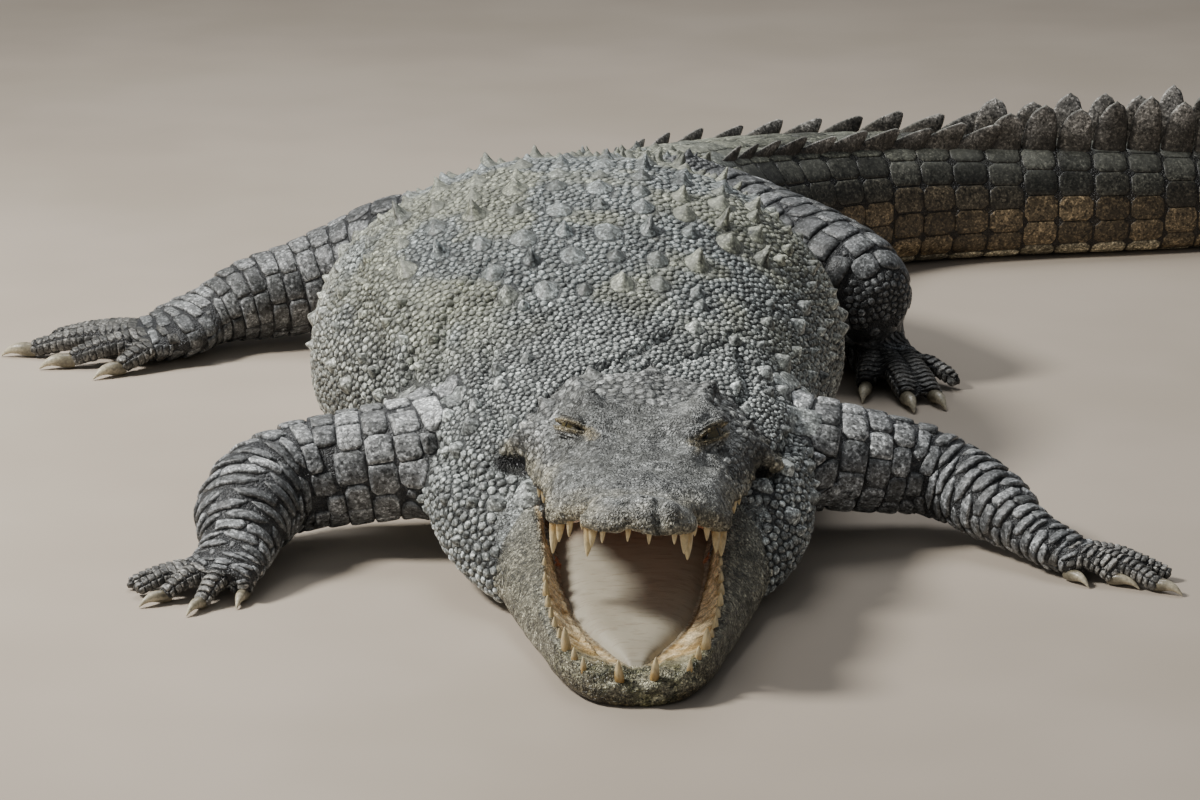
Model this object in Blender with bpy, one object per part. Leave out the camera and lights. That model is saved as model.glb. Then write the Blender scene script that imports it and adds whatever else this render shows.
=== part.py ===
"""A mugger crocodile at life size, basking on the ground with its jaws open.

+Z is up, the head faces -Y and the tail swings round to +X. Lengths are in metres.
Shapes are written in plan coordinates whose zero is the ground under the chin's tip;
at the end the whole animal is moved so that the origin is the bottom centre of its box.
"""

import math

import bmesh
import bpy
import numpy as np
from mathutils import Matrix, Vector

# ---------------------------------------------------------------- driving dimensions

PART_GAP = 0.0005  # space left between neighbouring solids
FLAT_ANGLE = math.radians(0.5)  # faces this near to one plane are made one

# Spine on the ground plane (x, y), from under the throat to the tip of the tail.
SPINE = [
    (0.040, 0.33), (0.032, 0.50), (0.008, 0.78), (-0.030, 1.03), (-0.020, 1.28), (0.005, 1.50),
    (0.045, 1.70), (0.105, 1.90), (0.200, 2.08), (0.340, 2.20), (0.510, 2.28), (0.700, 2.32),
    (0.870, 2.34), (1.050, 2.37), (1.300, 2.42), (1.580, 2.43), (1.850, 2.38),
]
# Half width and height of the body, as (distance along the spine, value).
BODY_HALF_WIDTH = [
    (0.00, 0.110), (0.02, 0.166), (0.05, 0.196), (0.09, 0.222), (0.16, 0.246), (0.25, 0.256),
    (0.35, 0.264), (0.45, 0.292), (0.57, 0.345), (0.69, 0.379), (0.80, 0.381), (0.90, 0.358),
    (1.00, 0.322), (1.12, 0.274), (1.26, 0.226), (1.42, 0.188), (1.62, 0.160), (1.82, 0.142),
    (2.06, 0.122), (2.36, 0.099), (2.68, 0.077), (2.98, 0.053), (3.28, 0.030), (3.50, 0.009),
]
BODY_HEIGHT = [
    (0.00, 0.055), (0.02, 0.090), (0.05, 0.122), (0.09, 0.158), (0.16, 0.204), (0.25, 0.244),
    (0.35, 0.272), (0.45, 0.304), (0.57, 0.346), (0.69, 0.378), (0.80, 0.394), (0.90, 0.393),
    (1.02, 0.376), (1.14, 0.350), (1.26, 0.324), (1.40, 0.298), (1.62, 0.268), (1.82, 0.244),
    (2.06, 0.224), (2.36, 0.202), (2.68, 0.178), (2.98, 0.138), (3.28, 0.088), (3.50, 0.022),
]
BODY_WIDEST_AT = [(0.0, 0.42), (0.3, 0.40), (0.8, 0.40), (1.5, 0.45), (2.0, 0.46), (3.5, 0.45)]
BELLY_FLAT = 0.012  # how much of the rounded belly is pressed flat by the ground
TRUNK_SIDES, TAIL_SIDES = 18, 12

NECK_ENDS_AT, TRUNK_ENDS_AT = 0.37, 1.60
TAIL_CUTS = (2.20, 2.80)
BACK_SCUTES_FROM, BACK_SCUTE_ROWS, BACK_KEEL = 0.44, 12, 0.011
TAIL_WHORLS_DOUBLE, TAIL_WHORLS_SINGLE = 17, 15
WHORL_TAPER = 0.58  # the last whorl's length as a share of the first's
CREST_HEIGHT = [(1.60, 0.012), (1.86, 0.024), (2.16, 0.044), (2.46, 0.066), (2.76, 0.080),
                (3.06, 0.068), (3.31, 0.042), (3.50, 0.008)]
CREST_APART = [(1.60, 0.085), (1.96, 0.068), (2.36, 0.042), (2.71, 0.020), (3.50, 0.010)]

# Upper jaw and skull, in a frame whose zero is the snout's tip on the palate plane:
# x to the side, y backwards, z up from the tooth line.
SNOUT_TIP = Vector((0.0455, 0.072, 0.190))
HEAD_PITCH, HEAD_ROLL, HEAD_YAW = math.radians(5.0), math.radians(2.5), math.radians(-0.8)
SKULL_LENGTH = 0.50
SKULL_HALF_WIDTH = [
    (0.000, 0.026), (0.006, 0.040), (0.018, 0.053), (0.036, 0.0635), (0.056, 0.067), (0.080, 0.0635),
    (0.104, 0.074), (0.135, 0.100), (0.160, 0.109), (0.200, 0.114), (0.250, 0.123), (0.300, 0.133),
    (0.350, 0.148), (0.400, 0.166), (0.450, 0.174), (0.500, 0.168),
]
SKULL_TOP = [
    (0.000, 0.010), (0.006, 0.020), (0.018, 0.028), (0.040, 0.032), (0.070, 0.032), (0.110, 0.035),
    (0.160, 0.042), (0.220, 0.050), (0.280, 0.061), (0.330, 0.075), (0.380, 0.089), (0.440, 0.102),
    (0.500, 0.106),
]
SKULL_TOP_BREADTH = [(0.0, 3.2), (0.10, 3.0), (0.20, 2.6), (0.30, 2.2), (0.38, 2.3), (0.50, 2.6)]
SKULL_SIDE_STEEPNESS = [(0.0, 0.42), (0.15, 0.46), (0.28, 0.60), (0.38, 0.72), (0.50, 0.78)]
PALATE_ARCH = 0.012
LIP_WAVES = [(0.050, 0.020, -0.003), (0.088, 0.011, 0.006), (0.160, 0.046, -0.024), (0.300, 0.045, -0.010),
             (0.420, 0.050, 0.004)]  # place, reach and depth of each bulge along the upper lip
ORBIT = Vector((0.074, 0.335, 0.0))  # crown of the brow over each eye
ORBIT_RISE, ORBIT_REACH = 0.030, 0.029
NOSTRIL_MOUND = Vector((0.0, 0.048, 0.0))
MOUND_RISE, MOUND_REACH = 0.007, 0.024
EYE_CENTRE = Vector((0.084, 0.326, 0.060))
EYE_RADIUS = 0.0185

# Lower jaw, from the chin backwards along y.
JAW_TIP_X, JAW_TURN = 0.0435, -0.012  # where the chin is, and how the jaw's middle drifts per metre
JAW_LENGTH = 0.53
JAW_HALF_WIDTH = [
    (0.000, 0.022), (0.006, 0.043), (0.018, 0.061), (0.040, 0.077), (0.080, 0.096), (0.140, 0.113),
    (0.220, 0.136), (0.320, 0.163), (0.420, 0.182), (0.530, 0.180),
]
JAW_LIP_HEIGHT = [
    (0.000, 0.022), (0.010, 0.033), (0.040, 0.042), (0.100, 0.052), (0.180, 0.064), (0.260, 0.082),
    (0.330, 0.104), (0.380, 0.122), (0.430, 0.133), (0.530, 0.137),
]
# Half width of the lower tooth row, and of the mouth's floor inside the gums.
JAW_TOOTH_LINE = [(0.000, 0.018), (0.004, 0.036), (0.012, 0.052), (0.036, 0.070), (0.080, 0.088), (0.140, 0.101),
                  (0.200, 0.108), (0.300, 0.112), (0.400, 0.124), (0.530, 0.140)]
GUM_INNER = [(0.000, 0.006), (0.042, 0.014), (0.060, 0.029), (0.090, 0.046), (0.150, 0.064), (0.190, 0.077),
             (0.250, 0.087), (0.290, 0.094), (0.400, 0.108), (0.530, 0.124)]
MOUTH_FLOOR = [(0.00, 0.020), (0.02, 0.033), (0.042, 0.037), (0.058, 0.029), (0.15, 0.034), (0.28, 0.050), (0.40, 0.082), (0.53, 0.110)]
MOUTH_FLOOR_ENDS = 0.47
MOUTH_ROOM = 0.175  # height, inside the skull, up to which the neck keeps out of the mouth
JAW_STATIONS = (0.0, 0.006, 0.020, 0.042, 0.058, 0.090, 0.130, 0.180, 0.235, 0.290, 0.340, 0.385, 0.430,
                MOUTH_FLOOR_ENDS, JAW_LENGTH)

TONGUE_STARTS, TONGUE_ENDS = 0.062, 0.430
TONGUE_HALF_WIDTH = [(0.062, 0.010), (0.075, 0.024), (0.11, 0.038), (0.20, 0.062), (0.32, 0.086), (0.43, 0.104)]
TONGUE_TOP = [(0.062, 0.030), (0.075, 0.038), (0.12, 0.046), (0.22, 0.058), (0.32, 0.076), (0.43, 0.104)]

# Teeth as (place along the jaw, length); the row is mirrored.
UPPER_TEETH = [
    (0.004, 0.013), (0.016, 0.016), (0.034, 0.026), (0.054, 0.036), (0.074, 0.014), (0.108, 0.015),
    (0.124, 0.020), (0.142, 0.027), (0.164, 0.037), (0.188, 0.022), (0.214, 0.018), (0.242, 0.021),
    (0.272, 0.019), (0.304, 0.015),
]
LOWER_TEETH = [
    (0.010, 0.027), (0.027, 0.015), (0.046, 0.020), (0.070, 0.031), (0.098, 0.016), (0.124, 0.018),
    (0.150, 0.017), (0.178, 0.021), (0.206, 0.022), (0.238, 0.017), (0.272, 0.014),
]
TOOTH_SIDES = 4
TOOTH_INSET = 0.0095
FRONT_TOOTH_X = 0.020  # how far the first lower teeth stand from the middle
TOOTH_ROOT = 0.006  # length of root sunk in the jaw

# Limbs: joints from the root to the wrist or ankle, each with half width and half height.
FORE_RIGHT = [((-0.13, 0.70, 0.125), 0.085, 0.085), ((-0.26, 0.655, 0.112), 0.086, 0.078),
              ((-0.385, 0.640, 0.095), 0.074, 0.072), ((-0.442, 0.595, 0.084), 0.070, 0.069),
              ((-0.459, 0.535, 0.070), 0.067, 0.061), ((-0.464, 0.475, 0.049), 0.050, 0.042),
              ((-0.474, 0.440, 0.036), 0.052, 0.030), ((-0.488, 0.415, 0.024), 0.054, 0.022)]
FORE_LEFT = [((0.16, 0.72, 0.125), 0.085, 0.085), ((0.285, 0.690, 0.110), 0.082, 0.074),
             ((0.410, 0.700, 0.088), 0.064, 0.062), ((0.468, 0.680, 0.074), 0.057, 0.056),
             ((0.515, 0.625, 0.060), 0.052, 0.050), ((0.562, 0.560, 0.040), 0.036, 0.034),
             ((0.590, 0.530, 0.030), 0.041, 0.028), ((0.625, 0.505, 0.020), 0.044, 0.021)]
HIND_RIGHT = [((-0.02, 1.690, 0.150), 0.120, 0.090), ((-0.17, 1.700, 0.145), 0.115, 0.093),
              ((-0.300, 1.715, 0.135), 0.098, 0.099), ((-0.400, 1.720, 0.105), 0.084, 0.085),
              ((-0.475, 1.705, 0.085), 0.074, 0.074), ((-0.550, 1.680, 0.072), 0.068, 0.064),
              ((-0.612, 1.648, 0.054), 0.060, 0.046), ((-0.660, 1.610, 0.040), 0.080, 0.038),
              ((-0.715, 1.592, 0.027), 0.082, 0.028)]
HIND_LEFT = [((0.10, 1.740, 0.190), 0.120, 0.110), ((0.235, 1.650, 0.165), 0.112, 0.102),
             ((0.350, 1.520, 0.148), 0.092, 0.094), ((0.405, 1.468, 0.130), 0.076, 0.082),
             ((0.428, 1.428, 0.116), 0.042, 0.048)]
SHANK_LEFT = [((0.385, 1.490, 0.120), 0.066, 0.070), ((0.405, 1.560, 0.088), 0.066, 0.062),
              ((0.418, 1.625, 0.052), 0.050, 0.048)]
FOOT_LEFT = [((0.415, 1.640, 0.040), 0.040, 0.034), ((0.420, 1.590, 0.034), 0.050, 0.032),
             ((0.430, 1.520, 0.027), 0.056, 0.026), ((0.445, 1.455, 0.022), 0.060, 0.022)]
LIMB_SIDES, LIMB_RINGS = 9, 2  # rings to each span between two joints
FINGER_SIDES = 6

# Digits as (start, tip, root radius); the inner three of each foot carry claws.
DIGITS = {
    "fore_right": [((-0.447, 0.430), (-0.452, 0.398), 0.0175), ((-0.476, 0.420), (-0.502, 0.366), 0.0180),
                   ((-0.500, 0.428), (-0.552, 0.390), 0.0180), ((-0.506, 0.445), (-0.588, 0.416), 0.0160),
                   ((-0.500, 0.460), (-0.603, 0.446), 0.0140)],
    "fore_left": [((0.592, 0.500), (0.606, 0.478), 0.0175), ((0.612, 0.496), (0.660, 0.462), 0.0180),
                  ((0.628, 0.500), (0.712, 0.436), 0.0180), ((0.636, 0.510), (0.735, 0.480), 0.0155),
                  ((0.628, 0.525), (0.712, 0.535), 0.0135)],
    "hind_right": [((-0.665, 1.548), (-0.738, 1.490), 0.0235), ((-0.705, 1.565), (-0.820, 1.535), 0.0245),
                   ((-0.722, 1.600), (-0.888, 1.603), 0.0240), ((-0.712, 1.640), (-0.864, 1.676), 0.0225)],
    "hind_left": [((0.412, 1.462), (0.398, 1.372), 0.0225), ((0.438, 1.450), (0.458, 1.316), 0.0235),
                  ((0.462, 1.458), (0.500, 1.330), 0.0225), ((0.474, 1.480), (0.546, 1.398), 0.0185)],
}
CLAW_LENGTH = {"fore": 0.036, "hind": 0.044}
CLAWED_DIGITS = 3
WEB_THICKNESS = 0.007
DIGIT_HEIGHT = 0.92  # a digit's height as a share of its width
KNUCKLE_ARCH = 0.012

# ---------------------------------------------------------------- materials

FINISHES = {  # base colour and roughness
    "back_hide": ((0.140, 0.142, 0.110), 0.80),
    "head_hide": ((0.190, 0.180, 0.145), 0.75),
    "limb_hide": ((0.085, 0.088, 0.085), 0.62),
    "mouth_lining": ((0.620, 0.560, 0.460), 0.50),
    "eye": ((0.180, 0.140, 0.050), 0.10),
    "claw": ((0.300, 0.270, 0.180), 0.45),
}


def finish(name):
    """The material of that name, made on first use."""
    found = bpy.data.materials.get(name)
    if found:
        return found
    colour, roughness = FINISHES[name]
    material = bpy.data.materials.new(name)
    material.use_nodes = True
    shader = material.node_tree.nodes["Principled BSDF"]
    shader.inputs["Base Color"].default_value = (*colour, 1.0)
    shader.inputs["Roughness"].default_value = roughness
    shader.inputs["Metallic"].default_value = 0.0
    return material


# ---------------------------------------------------------------- curves


def profile(knots, at):
    """Smooth curve through (place, value) knots that never overshoots them (a monotone cubic)."""
    place, value = np.array(knots, float).T
    step = np.diff(place)
    rise = np.diff(value) / step
    slope = np.zeros_like(value)
    slope[0], slope[-1] = rise[0], rise[-1]
    before, after = 2 * step[1:] + step[:-1], step[1:] + 2 * step[:-1]
    steady = rise[:-1] * rise[1:] > 0
    safe = np.where(rise == 0, 1.0, rise)
    mean = (before + after) / (before / safe[:-1] + after / safe[1:])
    slope[1:-1] = np.where(steady, mean, 0.0)
    at = np.clip(at, place[0], place[-1])
    i = np.clip(np.searchsorted(place, at) - 1, 0, len(step) - 1)
    u = (at - place[i]) / step[i]
    start = (1 + 2 * u) * (1 - u) ** 2 * value[i] + u * (1 - u) ** 2 * step[i] * slope[i]
    end = u * u * (3 - 2 * u) * value[i + 1] + u * u * (u - 1) * step[i] * slope[i + 1]
    return start + end


def through(points, per_span=24):
    """A dense Catmull-Rom curve through the points."""
    points = np.array(points, float)
    padded = np.vstack([2 * points[0] - points[1], points, 2 * points[-1] - points[-2]])
    u = np.linspace(0, 1, per_span, endpoint=False)[:, None]
    spans = []
    for a, b, c, d in zip(padded, padded[1:], padded[2:], padded[3:]):
        spans.append(0.5 * (2 * b + (c - a) * u + (2 * a - 5 * b + 4 * c - d) * u**2
                            + (3 * b - a - 3 * c + d) * u**3))
    return np.vstack([*spans, points[-1:]])


def along(curve, at):
    """Points and unit tangents at these distances along a dense curve."""
    reach = np.concatenate([[0], np.cumsum(np.linalg.norm(np.diff(curve, axis=0), axis=1))])
    at = np.atleast_1d(at)
    little = 0.004
    def place(distance):
        return np.stack([np.interp(distance, reach, curve[:, k]) for k in range(curve.shape[1])], 1)
    ahead = place(np.minimum(at + little, reach[-1])) - place(np.maximum(at - little, 0))
    return place(at), ahead / np.linalg.norm(ahead, axis=1)[:, None]


def bump(distance, reach):
    return np.exp(-((distance / reach) ** 2))


# ---------------------------------------------------------------- meshes


def loft(rings):
    """A closed mesh through rings of equally many points, with a point at the middle of each end."""
    rings = np.asarray(rings, float)
    count, sides = rings.shape[:2]
    points = np.vstack([rings.reshape(-1, 3), rings[0].mean(0), rings[-1].mean(0)])
    first, last = count * sides, count * sides + 1
    faces = []
    for j in range(sides):
        k = (j + 1) % sides
        faces.append((first, k, j))
        faces.append((last, (count - 1) * sides + j, (count - 1) * sides + k))
        for i in range(count - 1):
            a, b = i * sides, (i + 1) * sides
            faces.append((a + j, a + k, b + k, b + j))
    mesh = bpy.data.meshes.new("loft")
    mesh.from_pydata(points.tolist(), [], faces)
    return outward(mesh)


def outward(mesh):
    """Cuts a closed mesh into triangles and turns every one outwards."""
    work = bmesh.new()
    work.from_mesh(mesh)
    bmesh.ops.triangulate(work, faces=work.faces)
    bmesh.ops.recalc_face_normals(work, faces=work.faces)
    if work.calc_volume(signed=True) < 0:
        bmesh.ops.reverse_faces(work, faces=work.faces)
    work.to_mesh(mesh)
    work.free()
    return mesh


def tube(curve, half_width, half_height, sides, floor=0.0):
    """Rings round a path of (x, y, z) points, kept above the floor so that soles lie flat."""
    curve = np.asarray(curve, float)
    ahead = np.gradient(curve, axis=0)
    ahead /= np.linalg.norm(ahead, axis=1)[:, None]
    side = np.cross(ahead, [0, 0, 1.0])
    side /= np.linalg.norm(side, axis=1)[:, None]
    upward = np.cross(side, ahead)
    turn = np.linspace(0, 2 * math.pi, sides, endpoint=False)
    rings = (curve[:, None]
             + side[:, None] * (np.cos(turn)[None, :, None] * half_width[:, None, None])
             + upward[:, None] * (np.sin(turn)[None, :, None] * half_height[:, None, None]))
    rings[..., 2] = np.maximum(rings[..., 2], floor)
    return rings


def evened(mesh):
    """Merges the triangles of each flat area and cuts it again into as few as it needs."""
    work = bmesh.new()
    work.from_mesh(mesh)
    bmesh.ops.dissolve_limit(work, angle_limit=FLAT_ANGLE, verts=work.verts, edges=work.edges)
    bmesh.ops.triangulate(work, faces=work.faces)
    work.to_mesh(mesh)
    work.free()
    return mesh


def node(name, mesh, material):
    made = bpy.data.objects.new(name, evened(mesh))
    bpy.context.scene.collection.objects.link(made)
    mesh.materials.clear()
    mesh.materials.append(finish(material))
    mesh.name = name
    return made


def grown(mesh, by):
    """A copy of the mesh with its surface moved outwards."""
    copy = mesh.copy()
    normals = np.empty(len(copy.vertices) * 3)
    places = np.empty(len(copy.vertices) * 3)
    mesh.vertex_normals.foreach_get("vector", normals)
    copy.vertices.foreach_get("co", places)
    copy.vertices.foreach_set("co", places + by * normals)
    return copy


def combined(mesh, other, operation):
    """The Boolean of two closed meshes, as a new mesh."""
    target = bpy.data.objects.new("target", mesh)
    cutter = bpy.data.objects.new("cutter", other)
    for made in (target, cutter):
        bpy.context.scene.collection.objects.link(made)
    modifier = target.modifiers.new("combine", "BOOLEAN")
    modifier.operation = operation
    modifier.solver = "EXACT"
    modifier.use_self = True
    modifier.object = cutter
    graph = bpy.context.evaluated_depsgraph_get()
    result = bpy.data.meshes.new_from_object(target.evaluated_get(graph))
    for made in (target, cutter):
        bpy.data.objects.remove(made)
    return result


def clear_of(mesh, *neighbours):
    """The mesh with its neighbours and a thin space round each taken out of it."""
    for other in neighbours:
        mesh = combined(mesh, grown(other, PART_GAP), "DIFFERENCE")
    return mesh


def kept_side(mesh, point, normal):
    """The part of a closed mesh on the side that the normal points to, closed again, less half a gap."""
    normal = Vector(normal).normalized()
    work = bmesh.new()
    work.from_mesh(mesh)
    cut = bmesh.ops.bisect_plane(
        work, geom=work.verts[:] + work.edges[:] + work.faces[:], dist=1e-6,
        plane_co=Vector(point) + normal * PART_GAP / 2, plane_no=normal, clear_inner=True)
    edges = [e for e in cut["geom_cut"] if isinstance(e, bmesh.types.BMEdge)]
    bmesh.ops.triangle_fill(work, edges=edges, use_beauty=True)
    bmesh.ops.recalc_face_normals(work, faces=work.faces)
    result = bpy.data.meshes.new("side")
    work.to_mesh(result)
    work.free()
    return result


def parted(mesh, cuts):
    """A mesh cut by planes, each (point, direction), into one piece more than there are planes."""
    pieces = []
    for point, direction in cuts:
        pieces.append(kept_side(mesh, point, -Vector(direction)))
        mesh = kept_side(mesh, point, direction)
    return [*pieces, mesh]


def slice_at(point, direction, reach):
    """A thin square plate across a limb, whose thickness becomes the space between two pieces."""
    mesh = bpy.data.meshes.new("slice")
    work = bmesh.new()
    turn = Vector(direction).to_track_quat("Z", "Y").to_matrix().to_4x4()
    size = Matrix.Diagonal((2 * reach, 2 * reach, PART_GAP, 1.0))
    bmesh.ops.create_cube(work, size=1.0, matrix=Matrix.Translation(point) @ turn @ size)
    work.to_mesh(mesh)
    work.free()
    return mesh


def bodies_of(mesh):
    """The separate bodies of a mesh, each as a mesh of its own."""
    work = bmesh.new()
    work.from_mesh(mesh)
    left, found = set(work.verts), []
    while left:
        front = [left.pop()]
        body = set(front)
        while front:
            for edge in front.pop().link_edges:
                for vert in edge.verts:
                    if vert in left:
                        left.discard(vert)
                        body.add(vert)
                        front.append(vert)
        found.append(body)
    indexed = [{v.index for v in body} for body in found]
    work.free()
    result = []
    for keep in indexed:
        work = bmesh.new()
        work.from_mesh(mesh)
        bmesh.ops.delete(work, geom=[v for v in work.verts if v.index not in keep], context="VERTS")
        piece = bpy.data.meshes.new("body")
        work.to_mesh(piece)
        work.free()
        result.append(piece)
    return result


def largest(mesh):
    """The biggest body of a mesh."""
    return max(bodies_of(mesh), key=lambda piece: len(piece.vertices))


def sliced(mesh, plates, marks):
    """A limb cut by thin plates; for each mark, the piece whose middle lies nearest to it."""
    for plate in plates:
        mesh = combined(mesh, plate, "DIFFERENCE")
    pieces = bodies_of(mesh)
    middles = [sum((v.co for v in p.vertices), Vector()) / len(p.vertices) for p in pieces]
    return [min(zip(pieces, middles), key=lambda pair: (pair[1] - Vector(mark)).length)[0] for mark in marks]


# ---------------------------------------------------------------- body


def section(curve, s, sides):
    """Middle, sideways direction and plain outline (x to the left, z up) of the body at a distance s."""
    centre, ahead = along(curve, s)
    side = np.array([ahead[0][1], -ahead[0][0]])
    wide, high = profile(BODY_HALF_WIDTH, s), profile(BODY_HEIGHT, s)
    waist = high * profile(BODY_WIDEST_AT, s)
    turn = np.linspace(0, 2 * math.pi, sides, endpoint=False)
    across, up = np.sin(turn), np.cos(turn)
    x = wide * np.sign(across) * np.abs(across) ** 0.84
    z = waist + np.where(up > 0, (high - waist) * np.abs(up) ** 0.94,
                         -(waist + BELLY_FLAT) * np.abs(up) ** 0.80)
    return centre[0], side, x, z


def ring_of(centre, side, x, z):
    return np.column_stack([centre[0] + side[0] * x, centre[1] + side[1] * x, np.maximum(z, 0.0)])


def trunk_mesh(curve):
    """Neck and trunk, from the jowls beside the lower jaw to the hips, with keels along the back."""
    stations = [(s, False) for s in (0.0, 0.012, 0.035, 0.07, 0.12, 0.18, 0.25, 0.32, 0.38)]
    pitch = (TRUNK_ENDS_AT - BACK_SCUTES_FROM) / BACK_SCUTE_ROWS
    for i in range(BACK_SCUTE_ROWS):
        start = BACK_SCUTES_FROM + i * pitch
        stations += [(start, False), (start + 0.68 * pitch, True)]
    rings = []
    for s, raised in [*stations, (TRUNK_ENDS_AT - PART_GAP / 2, False)]:
        centre, side, x, z = section(curve, s, TRUNK_SIDES)
        if raised:
            for k, share in ((1, 1.0), (2, 0.9), (3, 0.6)):
                for j in (k, TRUNK_SIDES - k):
                    x[j] += share * BACK_KEEL * np.sign(x[j])
                    z[j] += share * BACK_KEEL
        rings.append(ring_of(centre, side, x, z))
    return loft(rings)


def tail_mesh(curve):
    """The tail: a ring at the foot and at the tip of each whorl's crest, two crests, then one."""
    count = TAIL_WHORLS_DOUBLE + TAIL_WHORLS_SINGLE
    pitches = np.linspace(1.0, WHORL_TAPER, count)
    start = TRUNK_ENDS_AT + PART_GAP / 2
    tip = BODY_HALF_WIDTH[-1][0]
    pitches *= (tip - start) / pitches.sum()
    rings = []
    for i, pitch in enumerate([*pitches, 0.0]):
        for s, raised in ((start, 0.0), (start + 0.70 * pitch, 1.0)):
            if raised and i == count:
                continue
            centre, side, x, z = section(curve, min(s, tip), TAIL_SIDES)
            crest, apart = raised * profile(CREST_HEIGHT, s), profile(CREST_APART, s)
            x[1], x[-1] = apart + 0.25 * crest, -apart - 0.25 * crest
            if i < TAIL_WHORLS_DOUBLE:
                z[[1, -1]] += crest
            else:
                z[0] += crest
            rings.append(ring_of(centre, side, x, z))
        start += pitch
    return loft(rings)


def body_plane(curve, s):
    centre, ahead = along(curve, s)
    return Vector((*centre[0], 0.1)), Vector((*ahead[0], 0.0))


# ---------------------------------------------------------------- head


def head_frame():
    """From the skull's own frame to the ground's."""
    turn = (Matrix.Rotation(HEAD_YAW, 4, "Z") @ Matrix.Rotation(-HEAD_PITCH, 4, "X")
            @ Matrix.Rotation(HEAD_ROLL, 4, "Y"))
    return Matrix.Translation(SNOUT_TIP) @ turn


def lip_line(y):
    """Height of the upper lip, which waves along the tooth row."""
    return sum(depth * bump(y - place, reach) for place, reach, depth in LIP_WAVES)


def skull_surface(x, y):
    """Height of the skull's upper side over its tooth line."""
    share = np.clip(np.abs(x) / profile(SKULL_HALF_WIDTH, y), 0, 1)
    rounded = (1 - share ** profile(SKULL_TOP_BREADTH, y)) ** profile(SKULL_SIDE_STEEPNESS, y)
    high = profile(SKULL_TOP, y)
    high = lip_line(y) + (high - lip_line(y)) * rounded
    for sign in (-1, 1):
        away = np.hypot(x - sign * ORBIT.x, (y - ORBIT.y) * 0.62)
        high = high + ORBIT_RISE * bump(away, ORBIT_REACH) * rounded
    away = np.hypot(x - NOSTRIL_MOUND.x, y - NOSTRIL_MOUND.y)
    return high + MOUND_RISE * bump(away, MOUND_REACH)


def skull_mesh():
    stations = np.array([0.0, 0.005, 0.016, 0.034, 0.056, 0.080, 0.104, 0.130, 0.158, 0.190, 0.226,
                         0.262, 0.290, 0.312, 0.334, 0.358, 0.386, 0.420, 0.460, 0.50])
    over = np.cos(np.linspace(0, math.pi, 13))
    under = np.array([-0.75, -0.3, 0.3, 0.75])
    rings = []
    for y in stations:
        wide, lip = profile(SKULL_HALF_WIDTH, y), lip_line(y)
        x_top = wide * over
        arch = lip + PALATE_ARCH * (1 - (np.abs(under) / 0.9) ** 2) * min(1.0, y / 0.05)
        rings.append(np.column_stack([
            np.concatenate([x_top, wide * under]), np.full(len(over) + len(under), y),
            np.concatenate([skull_surface(x_top, y), np.minimum(arch, profile(SKULL_TOP, y) - 0.008)])]))
    mesh = loft(rings)
    mesh.transform(head_frame())
    return mesh


def jaw_middle(y):
    return JAW_TIP_X + JAW_TURN * y


def jaw_side(y):
    """Half the lower jaw's outline at y: from the middle of its underside up to the outer edge of the lip."""
    wide, lip, line = (profile(k, y) for k in (JAW_HALF_WIDTH, JAW_LIP_HEIGHT, JAW_TOOTH_LINE))
    edge = min(line + 0.008, 0.985 * wide)
    return [(0.0, 0.0), (0.55 * wide, 0.0), (0.86 * wide, 0.06 * lip), (0.985 * wide, 0.26 * lip),
            (wide, 0.48 * lip), (0.35 * edge + 0.65 * wide, 0.76 * lip), (edge, 0.985 * lip)]


def jaw_ring(y, half):
    right = np.array(half)
    ring = np.vstack([right, right[-2:0:-1] * [-1, 1]])
    return np.column_stack([jaw_middle(y) + ring[:, 0], np.full(len(ring), y), ring[:, 1]])


def jaw_mesh():
    """The lower jaw: two rami round the floor of the mouth, flat underneath where it lies on the ground."""
    rings = []
    for y in JAW_STATIONS:
        lip, line = profile(JAW_LIP_HEIGHT, y), profile(JAW_TOOTH_LINE, y)
        floor = min(profile(MOUTH_FLOOR, y), lip - 0.004)
        inner = min(profile(GUM_INNER, y), line - 0.012)
        top = [(line - 0.006, lip), (0.5 * (line + inner), lip - 0.30 * (lip - floor)),
               (inner, lip - 0.80 * (lip - floor)), (0.92 * inner, floor), (0.0, floor)]
        if y >= MOUTH_FLOOR_ENDS:
            top = [(x, lip) for x, _ in top]
        rings.append(jaw_ring(y, jaw_side(y) + top))
    return loft(rings)


def jaw_block():
    """The room taken by the lower jaw and the mouth over it, up into the skull."""
    return loft([jaw_ring(y, [*jaw_side(y), (0.6 * profile(JAW_HALF_WIDTH, y), MOUTH_ROOM),
                              (0.0, MOUTH_ROOM)]) for y in JAW_STATIONS])


def tooth(root, tip, radius):
    """A blunt cone from root to tip."""
    root, tip = np.array(root, float), np.array(tip, float)
    ahead = (tip - root) / np.linalg.norm(tip - root)
    side = np.cross(ahead, [0.0, 1.0, 0.0])
    side /= np.linalg.norm(side)
    other = np.cross(side, ahead)
    turn = np.linspace(0, 2 * math.pi, TOOTH_SIDES, endpoint=False)
    ring = side * np.cos(turn)[:, None] + other * np.sin(turn)[:, None]
    return loft([root + radius * ring, tip + 0.14 * radius * ring])


def tooth_radius(length):
    return 0.0018 + 0.17 * length


def joined(meshes):
    work = bmesh.new()
    for mesh in meshes:
        work.from_mesh(mesh)
    result = bpy.data.meshes.new("joined")
    work.to_mesh(result)
    work.free()
    return result


def upper_teeth():
    frame = head_frame()
    made = []
    for place, length in UPPER_TEETH:
        x = profile(SKULL_HALF_WIDTH, place) - TOOTH_INSET
        lip = lip_line(place)
        y = place + (0.010 if place < 0.03 else 0.002)
        for sign in (-1, 1):
            if place < 0.01:
                x = 0.012
            root = frame @ Vector((sign * x, y, lip + TOOTH_ROOT + 0.003))
            tip = frame @ Vector((sign * (x + 0.10 * length), y - 0.05 * length, lip - length))
            made.append(tooth(root, tip, tooth_radius(length)))
    return joined(made)


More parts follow.
